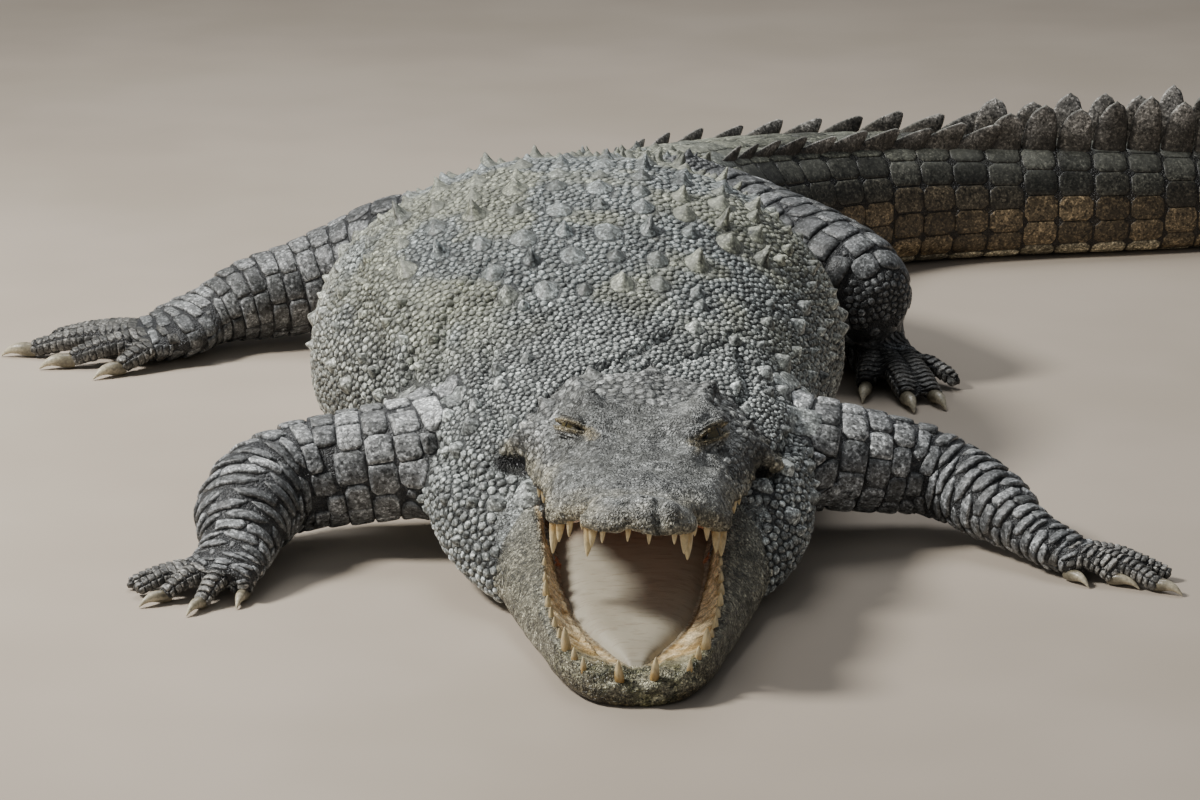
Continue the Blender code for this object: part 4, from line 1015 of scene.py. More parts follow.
def marked(points, normals, lookup, form, place, colours):
    """Colour, dust and wetness of the hide at each point, with painted shade in its creases, pits and hollows
    and on the undersides of the jaws, and painted light on the limbs' upper faces; the skin and its coat
    share them.
    """
    n = len(points)
    q = moved(HEAD_BACK, points)
    body = is_form(lookup, form, "body", "neck")
    skull, jaw = is_form(lookup, form, "skull"), is_form(lookup, form, "jaw")
    limb = ~(body | skull | jaw)
    s, y = place[:, 0], points[:, 1]
    height = points[:, 2] / np.maximum(profile(BODY_HEIGHT, np.where(body, s, 1.0)), 0.02)
    blotch = rough(points, 0.11, 21, 3)
    fine = rough(points, 0.030, 22, 3)
    faces_down = -(normals @ HEAD[:3, 2])

    def pick(name):
        return np.array(colours[name])[None, :]

    def mix(a, b, share):
        return a * (1 - share[:, None]) + b * share[:, None]

    tail = ease(1.45, 1.80, s) * body
    flank = mix(pick("flank"), pick("neck"), 1 - ease(0.30, 0.60, s))
    colour = np.repeat(pick("flank"), n, 0)
    colour = mix(colour, flank, body.astype(float))
    back = body * ease(0.50, 0.90, height + 0.06 * blotch) * ease(0.30, 0.55, s)
    patches = rough(points, 0.085, 25, 3)
    back_colour = mix(pick("back"), pick("back_blue"), ease(-0.25, 0.35, patches))
    colour = mix(colour, back_colour, back * 0.85)
    lower = 1 - ease(0.50, 0.66, height + 0.05 * blotch + 0.03 * fine)
    tail_colour = mix(pick("tail"), pick("tail_side"), lower)
    tail_colour = mix(tail_colour, pick("back"), ease(0.80, 1.0, height) * (1 - ease(1.9, 2.3, s)) * 0.6)
    bands = ease(0.2, 0.8, np.sin(s * 2 * math.pi / TAIL_BAND + 0.8 * blotch) * 0.5 + 0.5) * (1 - lower)
    tail_colour = mix(tail_colour, pick("tail") * 0.55, bands * 0.5)
    colour = mix(colour, tail_colour, tail)
    colour = mix(colour, pick("belly"), body * (1 - ease(0.03, 0.12, height)) * 0.8)

    # Pale wear in patches, and painted light: faces that look upwards are paler.
    worn_and_top_lit = ease(-0.1, 0.9, blotch + 0.5 * fine + 0.5 * normals[:, 2] - 0.2)
    limb_colour = mix(pick("limb"), pick("limb_light"), worn_and_top_lit)
    limb_colour = mix(limb_colour, pick("foot"), is_digit(lookup, form) * 0.8)
    limb_colour = limb_colour * np.where(y > 1.0, HIND_SHADE, 1.0)[:, None]
    colour = mix(colour, limb_colour, limb.astype(float))

    spots = rough(points, 0.010, 23, 2)
    head = mix(pick("head"), pick("head_dark"), ease(-0.5, 0.7, blotch * 0.5 + 0.7 * fine) * 0.75)
    head = mix(head, pick("head_dark") * 0.8, ease(0.15, 0.70, spots) * 0.6)
    head = mix(head, pick("head") * 1.5, ease(0.15, 0.70, -spots) * 0.4)
    head = mix(head, pick("head_dark"), ease(0.34, 0.40, q[:, 1]) * 0.25)
    edge = 1 - ease(0.002, 0.045, q[:, 2] - lip_line(q[:, 1]) + 0.012 * fine)
    head = mix(head, pick("lip"), edge * 0.65)
    arch = (q[:, 1] > SKULL_REAR) * (1 - ease(0.011, 0.016, arch_distance(q)))
    colour = mix(colour, head, np.maximum(skull, arch))

    # Painted shade: the low part of the jaw towards the chin is darkened to the chin colour.
    low = 1 - ease(0.3, 0.8, points[:, 2] / np.maximum(profile(JAW_LIP_HEIGHT, y), 0.01))
    cheek = mix(pick("jaw"), pick("neck"), ease(0.30, 0.45, y) * 0.6)
    cheek = mix(cheek, pick("chin"), low * (1 - ease(0.02, 0.16, y)))
    cheek = mix(cheek, pick("algae"), (1 - ease(0.05, 0.24, y)) * ease(-0.1, 0.5, fine + 0.4 * blotch) * 0.55)
    colour = mix(colour, cheek, jaw.astype(float))

    across = np.abs(points[:, 0] - jaw_middle(y))
    line, inner = profile(JAW_TOOTH_LINE, y), profile(TONGUE_EDGE, y)
    in_mouth = y < MOUTH_BACK
    inward = ease(-0.003, 0.004, line - 0.003 - across) * in_mouth * (points[:, 2] > 0.012)
    gum = jaw * inward * (normals[:, 2] > -0.2) * ease(0.030, 0.050, y + 0.010 * fine)
    stain = rough(points * [0.6, 1.8, 1.0], 0.014, 31, 3)
    stained = ease(-0.3, 0.7, stain + 0.5 * (1 - ease(0.10, 0.22, y)) - 0.2)
    gum_colour = mix(pick("gum"), pick("gum_dark"), stained * 0.85)
    crumbs = rough(points, 0.009, 24, 2)
    crumbly = (1 - ease(0.05, 0.12, y)) * ease(-0.5, 0.5, fine + crumbs)
    gum_colour = mix(gum_colour, pick("algae"), crumbly * 0.8)
    gum_colour = mix(pick("mouth"), gum_colour, ease(-0.002, 0.002, across - inner))
    # Painted shade in the groove between the gum and the tongue.
    groove = bump(across - inner - 0.001, 0.0030) * 0.9 * (y > 0.045)
    gum_colour = mix(gum_colour, pick("gum_dark") * 0.35, groove)
    margin = bump(line - 0.006 - across, 0.0022) * 0.6 * ease(-0.4, 0.5, crumbs)
    gum_colour = mix(gum_colour, pick("gum_dark") * 0.5, margin)
    colour = mix(colour, gum_colour, gum)
    crusty = jaw * (1 - ease(0.050, 0.090, y)) * ease(-0.1, 0.4, normals[:, 2]) * (across < line + 0.010)
    crust = mix(pick("algae"), pick("crust"), ease(-0.6, 0.25, crumbs))
    colour = mix(colour, crust, crusty * (1 - ease(0.0, 0.01, inner - across)) * 0.85)

    # The roof of the mouth: a darker copy of the lining at its front, as painted shade, turning to the pink
    # of the throat further back.
    within = profile(SKULL_HALF_WIDTH, q[:, 1]) * 0.86 - np.abs(q[:, 0])
    under = skull * ease(0.1, 0.5, faces_down) * ease(-0.002, 0.005, within)
    under = under * (1 - ease(0.36, 0.40, q[:, 1])) * (q[:, 2] < 0.028)
    colour = mix(colour, mix(pick("mouth") * 0.6, pick("throat"), ease(0.02, 0.16, q[:, 1])), under)
    cavity = body * in_mouth * (across < inner - 0.004) * (points[:, 2] < 0.205) * (q[:, 2] < 0.02)
    colour = mix(colour, pick("throat"), cavity.astype(float))
    # Painted shade at the corners of the mouth, on faces that look down under the upper jaw.
    corner = (skull | body | jaw) * (y > 0.26) * (y < 0.50) * (across > inner)
    corner = corner * (q[:, 2] < 0.004) * (points[:, 2] > 0.10)
    colour = mix(colour, pick("groove"), corner * ease(0.0, 0.5, faces_down) * 0.8)
    # Painted shade in the hollow behind the corner of the mouth.
    colour = mix(colour, pick("groove") * 0.25, (q[:, 1] > SKULL_REAR) * ease(0.15, 0.45, hollow(q)))
    # Painted shade along the deep fold across the neck.
    colour = mix(colour, pick("groove"), body * bump(line_distance(points, FOLDS[0][0]), 0.0040) * 0.9)

    wet = np.clip(gum + under + cavity, 0, 1)
    dust = np.clip(back * 0.68 + body * 0.12 + skull * 0.22 + jaw * 0.15 + limb * 0.10, 0, 1) * (1 - wet)
    dust = dust * (1 - tail * (0.55 + 0.40 * lower)) * (1 - 0.55 * body * ease(-0.15, 0.35, patches))
    for side in EYES:
        reach, off, over, _, inside = lid_shape(points, side)
        near = (reach < 0.040) & (off < 1.3)
        lid = near * (1 - ease(0.10, 0.36, np.abs(inside)))
        lines = ease(0.2, 0.9, -lid_lines(points, over))
        # Painted shade in the creases of the lids.
        colour = mix(colour, pick("groove") * 1.2, near * (reach < 0.034) * lines * 0.65)
        crust = pick("lid") * (0.55 + 0.8 * ease(-0.5, 0.6, rough(points, 0.006, 41, 2)))[:, None]
        colour = mix(colour, crust, lid * 0.85)
        # Painted shade in the slit between the lids.
        colour = mix(colour, pick("groove"), (near & (inside < 0.0)).astype(float))
    for spot, size in NOSTRILS:
        pit = nostril_distance(q, spot, size)
        # Painted shade in the nostril pits.
        colour = mix(colour, pick("groove") * 0.4, skull * (q[:, 2] > 0.008) * np.exp(-pit**3))
    return colour, dust, wet


def is_digit(lookup, form):
    """Whether each form is a finger or a toe, whose name ends in its number."""
    return np.isin(form, [i for i, name in enumerate(lookup.names) if name[-1].isdigit()])


# ---------------------------------------------------------------- scales


class Scales:
    """Roots of scales: place, direction along the body, half length and width, height, keel and lean."""

    FIELDS = ("root", "ahead", "long", "wide", "high", "keel", "lean", "group", "rank")

    def __init__(self):
        self.rows = {name: [] for name in self.FIELDS}

    def add(self, *given):
        """Adds scales; the fields come in the order of FIELDS, and one value may stand for all."""
        n = len(given[0])
        for name, value in zip(self.FIELDS, given):
            shape = (n, 3) if name in ("root", "ahead") else (n,)
            self.rows[name].append(np.broadcast_to(np.asarray(value, float), shape))

    def settle(self, hide, reach=0.018):
        """Sets every root on the skin and drops those that are far from it or crowd a bigger one."""
        data = {name: np.concatenate(parts) for name, parts in self.rows.items()}
        place, normal, face, share, away = hide.nearest(data["root"])
        data["root"], data["normal"], data["face"], data["share"] = place, normal, face, share
        data = chosen_rows(data, away < reach)
        free = data["rank"] < KNOB
        fixed = self.spaced(chosen_rows(data, ~free), LEAST_SPACING)
        loose = self.spaced(clear_of(chosen_rows(data, free), fixed), LEAST_SPACING)
        return {name: np.concatenate([fixed[name], loose[name]]) for name in fixed}

    @staticmethod
    def spaced(data, least):
        """Drops scales that stand closer together than the least share of their sizes, small ones first."""
        place = data["root"]
        size = np.minimum(data["long"], data["wide"])
        cell = {}
        taken = np.zeros(len(size), bool)
        for i in np.lexsort((-size, -data["rank"])):
            p, r = place[i], size[i]
            key = tuple(int(v // CELL) for v in p)
            span = int(math.ceil((r + BIGGEST_SCALE) / CELL))
            steps = range(-span, span + 1)
            near = (j for a in steps for b in steps for c in steps
                    for j in cell.get((key[0] + a, key[1] + b, key[2] + c), ()))
            if all((gap := place[j] - p) @ gap >= (least * (r + size[j])) ** 2 for j in near):
                cell.setdefault(key, []).append(i)
                taken[i] = True
        return chosen_rows(data, taken)


def chosen_rows(data, chosen):
    return {name: value[chosen] for name, value in data.items()}


def tangents(ahead, normal):
    """The directions ahead and beside it in the plane across each normal."""
    ahead = unit(ahead - normal * (ahead * normal).sum(1)[:, None])
    return ahead, np.cross(normal, ahead)


def tree_of(points):
    """The points, ready for finding the nearest of them."""
    tree = kdtree.KDTree(len(points))
    for i, p in enumerate(points):
        tree.insert(p, i)
    tree.balance()
    return tree


def clear_of(loose, fixed):
    """Drops loose scales that start inside the outline of a fixed one."""
    tree = tree_of(fixed["root"])
    size = np.minimum(loose["long"], loose["wide"])
    pairs = np.array([(i, j) for i, (p, r) in enumerate(zip(loose["root"].tolist(), size))
                      for _, j, _ in tree.find_range(p, 0.5 * r + 0.055)])
    mine, theirs = pairs[:, 0], pairs[:, 1]
    away = loose["root"][mine] - fixed["root"][theirs]
    normal = fixed["normal"][theirs]
    ahead, side = tangents(fixed["ahead"][theirs], normal)
    length = fixed["long"][theirs] * np.where(fixed["group"][theirs] == LIMBS_GROUP, 1.5, 1.0)
    u = np.abs((away * ahead).sum(1)) / (length + 0.55 * size[mine])
    v = np.abs((away * side).sum(1)) / (fixed["wide"][theirs] + 0.55 * size[mine])
    boxed = fixed["rank"][theirs] >= BOXED
    inside = np.where(boxed, np.maximum(u, v), np.hypot(u, v)) < 1
    inside &= (loose["normal"][mine] * normal).sum(1) > -0.2
    keep = np.ones(len(size), bool)
    keep[mine[inside]] = False
    return chosen_rows(loose, keep)


def random_roots(hide, spacing_at, seed, tries):
    """Candidate roots scattered over the skin, denser where the scales are to be smaller."""
    rng = np.random.default_rng(seed)
    a, b, c = (hide.points[hide.triangles[:, k]] for k in range(3))
    area = np.linalg.norm(np.cross(b - a, c - a), axis=1) / 2
    middle = (a + b + c) / 3
    normal = unit(hide.normals[hide.triangles].sum(1))
    corner = hide.triangles[:, 0]
    spacing = spacing_at(middle, normal, hide.form[corner], hide.place[corner])
    weight = np.where(spacing > 0, area / np.maximum(spacing, 1e-4) ** 2, 0.0)
    count = int(tries * weight.sum())
    pick = rng.choice(len(area), count, p=weight / weight.sum())
    u, v = rng.random(count), rng.random(count)
    over = u + v > 1
    u, v = np.where(over, 1 - u, u), np.where(over, 1 - v, v)
    root = a[pick] + (b - a)[pick] * u[:, None] + (c - a)[pick] * v[:, None]
    return root, spacing[pick], pick


def crowding(data, hide, rounds):
    """Pushes small free scales apart a little, so that they sit evenly on the skin."""
    free = data["rank"] < KNOB
    size = np.minimum(data["long"], data["wide"])
    for _ in range(rounds):
        tree = tree_of(data["root"])
        move = np.zeros_like(data["root"])
        for i in np.nonzero(free)[0]:
            p = data["root"][i]
            for near, j, gap in tree.find_n(p, 7):
                wanted = 1.02 * (size[i] + size[j])
                if j != i and 1e-6 < gap < wanted:
                    move[i] += (p - np.array(near)) / gap * (wanted - gap) * 0.35
        spot, normal, face, share, _ = hide.nearest(data["root"][free] + move[free])
        for name, value in (("root", spot), ("normal", normal), ("face", face), ("share", share)):
            data[name][free] = value
    return data


def outlined(data, sides, near=20):
    """Each scale's outline: half of the way to its neighbours, rounded, in its own tangent plane."""
    root, normal = data["root"], data["normal"]
    long, wide = data["long"][:, None], data["wide"][:, None]
    ahead, side = tangents(data["ahead"], normal)
    tree = tree_of(root)
    around = np.array([[j for _, j, _ in tree.find_n(p, near + 1) if j != i][:near]
                       for i, p in enumerate(root)])
    gap = root[around] - root[:, None]
    x = (gap * ahead[:, None]).sum(2)
    y = (gap * side[:, None]).sum(2)
    angle = np.arctan2(y, x)
    facing = (normal[around] * normal[:, None]).sum(2)

    def radius(long, wide, turn):
        return 1.0 / np.sqrt((np.cos(turn) / long) ** 2 + (np.sin(turn) / wide) ** 2)

    def box(long, wide, power):
        lengthways, widthways = np.abs(np.cos(turn)) / long, np.abs(np.sin(turn)) / wide
        return (lengthways ** power + widthways ** power) ** (-1 / power)

    mine = radius(long, wide, angle)
    back_angle = np.arctan2(-(gap * side[around]).sum(2), -(gap * ahead[around]).sum(2))
    theirs = radius(data["long"][around], data["wide"][around], back_angle)
    half = np.linalg.norm(gap, axis=2) * mine / (mine + theirs)
    half = np.where(facing < -0.2, FAR, half)
    boxed = data["rank"] >= BOXED
    both = boxed[:, None] & boxed[around] & (facing > -0.2)
    lengthwise = np.abs(x) / long > 1.02 * np.abs(y) / wide
    square_on = np.where(lengthwise, np.where(x > 0, 0.0, math.pi), np.sign(y) * math.pi / 2)
    angle = np.where(both, square_on, angle)
    half = np.where(both, np.where(lengthwise, np.abs(x) / 2, np.abs(y) / (1 + facing)), half)
    turn = np.arange(sides) * 2 * math.pi / sides
    cosine = np.cos(turn[None, None, :] - angle[:, :, None])
    reach = np.where(cosine > 0.08, half[:, :, None] / np.maximum(cosine, 0.08), FAR)
    limb = data["group"][:, None] == LIMBS_GROUP
    mounded = (data["rank"] == MOUND)[:, None]
    limit = np.where(mounded, box(long, wide, 3), 1.45 * radius(long, wide, turn[None, :]))
    wobble = np.where(mounded, 0.14, 0.0) * np.sin(3 * turn + root[:, :1] * 90)
    square = box(long * np.where(limb, 2.4, 1.12), wide * np.where(limb, 1.25, 1.12), 6)
    limit = np.where(boxed[:, None], square, limit * (1 + wobble))
    power = np.where(boxed, 22.0, 9.0)[:, None]
    outline = (np.sum(reach ** -power[:, :, None], axis=1) + limit ** -power) ** (-1 / power)
    return outline, ahead, side, turn


def keel_rise(place):
    """Height of a keel from the front of its scale (-1) to the back (1)."""
    return ease(-0.9, 0.40, place) * (1 - 0.9 * ease(0.40, 0.95, place))


def scale_mesh(name, hide, data, chosen, sides, steps, gap, look):
    """One mesh of closed, domed scales; steps are (share of the outline, share of the height, how far out of
    the painted groove shade).
    """
    outline, ahead, side, turn = look["outline"][sides]
    outline, ahead, side = outline[chosen], ahead[chosen], side[chosen]
    data = chosen_rows(data, chosen)
    root, normal, high, keel = data["root"], data["normal"], data["high"], data["keel"]
    n = len(root)
    cosine, sine = np.cos(turn), np.sin(turn)
    flat = ahead[:, None] * cosine[None, :, None] + side[:, None] * sine[None, :, None]
    reach = np.maximum(outline - gap, 0.35 * outline)
    spots, bulge = [], []
    for share, height, _ in steps:
        r = reach * share
        along_way = r * cosine[None, :] / data["long"][:, None]
        across_way = r * sine[None, :] / data["wide"][:, None]
        spots.append(root[:, None] + flat * r[:, :, None])
        tilt = np.clip(1 + data["lean"][:, None] * along_way, 0.15, 3)
        ridge = keel[:, None] * np.exp(-(across_way / 0.34) ** 2) * keel_rise(along_way)
        raised = high[:, None] * height * tilt + ridge * (0.15 + 0.85 * height)
        bulge.append(raised if height > 0 else np.full_like(r, height))
    place, local, *_ = hide.nearest(np.concatenate(spots, axis=1).reshape(-1, 3))
    upward = unit(local.reshape(n, -1, 3) * 0.6 + normal[:, None] * 0.4)
    body = place.reshape(n, -1, 3) + upward * np.concatenate(bulge, axis=1)[:, :, None]
    crown = root + normal * (high * steps[-1][1] * 1.03 + keel * keel_rise(0.0))[:, None]
    body = np.concatenate([body, crown[:, None]], axis=1)
    body[:, :, 2] = np.maximum(body[:, :, 2], 0.0)
    mesh = closed_cups(name, body, sides, len(steps))
    per = body.shape[1]
    colour, dust, wet = (np.repeat(look[key][chosen], per, 0) for key in ("colour", "dust", "wet"))
    tint = np.random.default_rng(len(chosen)).random(n)
    lift = np.append(np.repeat([light for _, _, light in steps], sides), 1.0)
    paint(mesh, colour, np.tile(lift, n), dust, wet, np.repeat(tint, per))
    ring = np.column_stack([cosine, sine])
    local = np.concatenate([*(ring * share for share, *_ in steps), [[0.0, 0.0]]])
    uv_root = hide.uv_at(data["face"], data["share"])
    set_uv(mesh, (uv_root[:, None] + local[None, :] * UV_PATCH).reshape(-1, 2))
    mesh.shade_smooth()
    return mesh


def closed_cups(name, points, sides, rings):
    """A mesh of closed shapes, each with a flat foot, rings of points and one point on top."""
    n, per = points.shape[:2]
    j = np.arange(sides)
    k = (j + 1) % sides
    quads = np.concatenate([np.column_stack([low + j, low + k, low + sides + k, low + sides + j])
                            for low in range(0, (rings - 1) * sides, sides)])
    top = (rings - 1) * sides
    caps = np.column_stack([top + j, top + k, np.full(sides, rings * sides)])
    template = np.concatenate([quads.ravel(), caps.ravel(), j[::-1]])
    corners = np.concatenate([np.full(len(quads), 4), np.full(len(caps), 3), [sides]])
    loops = (template[None, :] + (np.arange(n) * per)[:, None]).ravel()
    starts = np.concatenate([[0], np.cumsum(np.tile(corners, n))[:-1]])
    mesh = bpy.data.meshes.new(name)
    mesh.vertices.add(n * per)
    mesh.vertices.foreach_set("co", points.reshape(-1))
    mesh.loops.add(len(loops))
    mesh.loops.foreach_set("vertex_index", loops.astype(np.int32))
    mesh.polygons.add(len(starts))
    mesh.polygons.foreach_set("loop_start", starts.astype(np.int32))
    mesh.update(calc_edges=True)
    mesh.validate()
    return mesh


def set_uv(mesh, uv):
    """Gives each point's place on the unwrap to the corners of its faces."""
    layer = mesh.uv_layers.get("OFBake") or mesh.uv_layers.new(name="OFBake")
    index = listed(mesh.loops, "vertex_index", 1, np.int64)[:, 0]
    layer.data.foreach_set("uv", uv[index].ravel())


def set_values(mesh, name, values):
    """Stores one number for each point of a mesh."""
    mesh.attributes.new(name, "FLOAT", "POINT").data.foreach_set("value", np.ascontiguousarray(values, float))


def paint(mesh, colour, lift, dust, wet, tint):
    """Stores what the hide's material reads."""
    layer = mesh.attributes.new("marking", "FLOAT_COLOR", "POINT")
    layer.data.foreach_set("color", np.column_stack([colour, np.ones(len(colour))]).ravel())
    for name, values in (("lift", lift), ("dust", dust), ("wet", wet), ("tint", tint)):
        set_values(mesh, name, values)


# ---------------------------------------------------------------- where the scales grow


def perimeter(s, steps=120):
    """Outline of the body at s and the length along it, from the back round to the back again."""
    turn = np.linspace(0, 1, steps + 1)
    ring = body_section(CURVE, np.full(steps + 1, s), turn)
    reach = distances(ring)
    return turn, reach


def body_root(s, turn):
    s, turn = np.broadcast_arrays(np.asarray(s, float), np.asarray(turn, float))
    _, ahead = along(CURVE, s)
    return body_section(CURVE, s, turn), np.column_stack([ahead, np.zeros(len(s))])


def turn_at(x, wide):
    """The turn round the body at which it is x out from the spine, where its half width is wide."""
    return math.asin(min(1.0, (x / wide) ** (1 / SIDE_FULLNESS))) / (2 * math.pi)


def back_scutes(scales):
    """Keeled scutes in rows across the back, and the knobs behind the head."""
    rows = np.linspace(0.475, 1.575, BACK_ROWS)
    pitch = rows[1] - rows[0]
    for number, s in enumerate(rows):
        wide = profile(BODY_HALF_WIDTH, s)
        k = float(np.clip(wide / 0.345, 0.52, 1.0))
        for column, (offset, half, high, keel) in enumerate(BACK_COLUMNS):
            x = offset * k
            if column > 2 and (s < 0.55 or s > 1.36) or x > 0.86 * wide:
                continue
            turn = turn_at(x, wide)
            for sign in (-1, 1):
                wobble = 0.007 * math.sin(number * 2.1 + column * 1.3 + sign)
                root, ahead = body_root([s + wobble], [sign * turn % 1.0])
                spiky = keel * (0.7 + 1.5 * max(0.0, math.sin(number * 1.7 + column * 2.3 + sign * 2)) ** 3)
                uneven = 1 + 0.22 * math.sin(number * 3.3 + column * 2.1 + sign)
                scales.add(root, ahead, pitch * 0.35 * uneven, half * k * uneven, high, spiky, 0.2,
                           SCUTES_GROUP, MOUND)
    for s, x, long, wide, high, keel in NUCHAL_KNOBS:
        turn = turn_at(x, profile(BODY_HALF_WIDTH, s))
        for sign in (-1, 1):
            root, ahead = body_root([s], [sign * turn % 1.0])
            scales.add(root, ahead, long, wide, high, keel, 0.1, SCUTES_GROUP, MOUND)


def flank_knobs(scales):
    """Larger round knobs in loose rows along the neck and flanks."""
    rng = np.random.default_rng(11)
    for s in np.arange(0.10, 1.50, 0.058):
        for turn in KNOB_TURNS:
            for sign in (-1, 1):
                if rng.random() < 0.16 or (turn < 0.12 and s > 0.47):
                    continue
                where = s + rng.uniform(-0.018, 0.018)
                root, ahead = body_root([where], [sign * (turn + rng.uniform(-0.008, 0.008)) % 1.0])
                size = 0.0085 + 0.0085 * rng.random() ** 2
                high = 0.30 * size + 0.0045
                scales.add(root, ahead, size * 1.1, size, high, 0.0040, 0.0, KNOBS_GROUP, KNOB)


def tail_rings(scales):
    """Rings of flat oblong scales round the tail, one ring to each plate of the crest."""
    starts, pitches = whorls()
    for i, (start, pitch) in enumerate(zip(starts, pitches)):
        s = start + 0.5 * pitch
        turn, reach = perimeter(s)
        half = reach[-1] / 2
        count = int(np.clip(round(half / 0.044), 3, 9))
        at = (np.arange(count) + 0.5) / count * half
        spots = np.interp(at, reach, turn)
        high = 0.0024 if i < 22 else 0.0018
        for sign in (-1, 1):
            root, ahead = body_root(np.full(count, s), sign * spots % 1.0)
            keel = np.where(np.arange(count) < 2, 0.0016, 0.0) * (i < 9)
            scales.add(root, ahead, pitch * 0.50, half / count * 0.5, high, keel, 0.12, TAIL_GROUP, BOXED)


def limb_root(name, at, turn, inset):
    """Points of a limb's surface at distances along it; a turn of a quarter is the top."""
    path, wide, high, reach = limb_curve(name)
    place = np.stack([np.interp(at, reach, path[:, k]) for k in range(3)], 1)
    ahead = unit(np.stack([np.interp(at, reach, np.gradient(path[:, k], reach)) for k in range(3)], 1))
    side, upward = across_path(ahead)
    w, h = np.interp(at, reach, wide) - inset, np.interp(at, reach, high) - inset
    angle = 2 * math.pi * np.asarray(turn)
    root = place + side * (np.cos(angle) * w)[:, None] + upward * (np.sin(angle) * h)[:, None]
    root[:, 2] = np.maximum(root[:, 2], 0.0)
    return root, ahead


# Rows of limb scales as (distance along the limb, half length, half width, height, lean).
LIMB_ROWS = {
    "fore_right": [(0.07, 0.0165, 0.022, 0.0048, 0.20), (0.27, 0.0170, 0.023, 0.0050, 0.25),
                   (0.32, 0.0100, 0.036, 0.0036, 0.55), (0.42, 0.0088, 0.038, 0.0032, 0.70),
                   (0.52, 0.0064, 0.026, 0.0024, 0.70)],
    "fore_left": [(0.07, 0.0165, 0.022, 0.0048, 0.20), (0.25, 0.0170, 0.023, 0.0050, 0.25),
                  (0.31, 0.0100, 0.034, 0.0036, 0.55), (0.42, 0.0086, 0.036, 0.0032, 0.70),
                  (0.56, 0.0064, 0.025, 0.0024, 0.70)],
    "hind_right": [(0.10, 0.020, 0.026, 0.0044, 0.15), (0.40, 0.019, 0.025, 0.0044, 0.15),
                   (0.52, 0.014, 0.026, 0.0038, 0.40), (0.62, 0.011, 0.026, 0.0032, 0.60),
                   (0.78, 0.0080, 0.020, 0.0024, 0.70)],
    "thigh_left": [(0.10, 0.019, 0.026, 0.0046, 0.15), (0.34, 0.018, 0.027, 0.0046, 0.20),
                   (0.50, 0.015, 0.024, 0.0036, 0.30)],
    "shank_left": [(0.0, 0.012, 0.024, 0.0034, 0.5), (0.2, 0.011, 0.022, 0.0030, 0.6)],
    "hind_left": [(0.0, 0.0088, 0.020, 0.0028, 0.70), (0.22, 0.0075, 0.018, 0.0024, 0.80)],
}


def limb_scales(scales):
    """Staggered rows of scales down each limb, large above and in narrow bands below."""
    for name, plan in LIMB_ROWS.items():
        _, wide, high, reach = limb_curve(name)
        table = np.array(plan)
        at, row = plan[0][0], 0
        while at < reach[-1] - 0.004:
            long, width, tall, lean = (float(np.interp(at, table[:, 0], table[:, k])) for k in (1, 2, 3, 4))
            w, h = np.interp(at, reach, wide), np.interp(at, reach, high)
            around = math.pi * (3 * (w + h) - math.sqrt((3 * w + h) * (w + 3 * h)))
            count = max(5, round(around / (2 * width)))
            number = np.arange(count)
            turn = (number + 0.5 * (row % 2)) / count
            turn = turn + 0.12 / count * np.sin(number * 2.3 + row * 1.9)
            root, ahead = limb_root(name, np.full(count, at), turn, 0.003)
            low = root[:, 2] > 0.004
            tall = tall * (1 + 0.18 * np.sin(number * 3.1 + row * 2.3))
            half = around / count / 2
            scales.add(root[low], ahead[low], long, half, tall[low], 0.0, lean, LIMBS_GROUP, BOXED)
            at += 2 * long
            row += 1
        digit_scales(scales, name)


def digit_scales(scales, foot):
    """Three scales across each finger and toe, in rows down to the claw."""
    step = 0.0088 if foot.startswith("fore") else 0.0110
    for digit in DIGITS.get(foot, []):
        path, thick = digit_path(*digit, ANKLE_HEIGHT, DIGIT_STEPS)
        reach = distances(path)

        def spot(at):
            return np.array([np.interp(at, reach, path[:, k]) for k in range(3)])

        for at in np.arange(0.006, reach[-1] - 0.003, step):
            place, after = spot(at), spot(min(at + 0.004, reach[-1]))
            ahead = unit(after - place) if at < reach[-1] - 0.004 else ahead
            side, up = across_path(ahead)
            r = float(np.interp(at, reach, thick)) - DIGIT_COAT
            for share, half in ((0.0, 0.185), (-0.285, 0.10), (0.285, 0.10)):
                turn = 2 * math.pi * share
                root = place + side * math.sin(turn) * r + up * math.cos(turn) * r * DIGIT_HEIGHT
                scales.add(root[None], ahead, step * 0.50, r * 2 * math.pi * half, 0.0019, 0.0, 0.55,
                           LIMBS_GROUP, BOXED)


def jowl(points, s):
    """Where the neck bulges beside the jaw and its scales are longer."""
    return (s < 0.30) & (points[:, 2] < 0.17) & (points[:, 1] < 0.60)


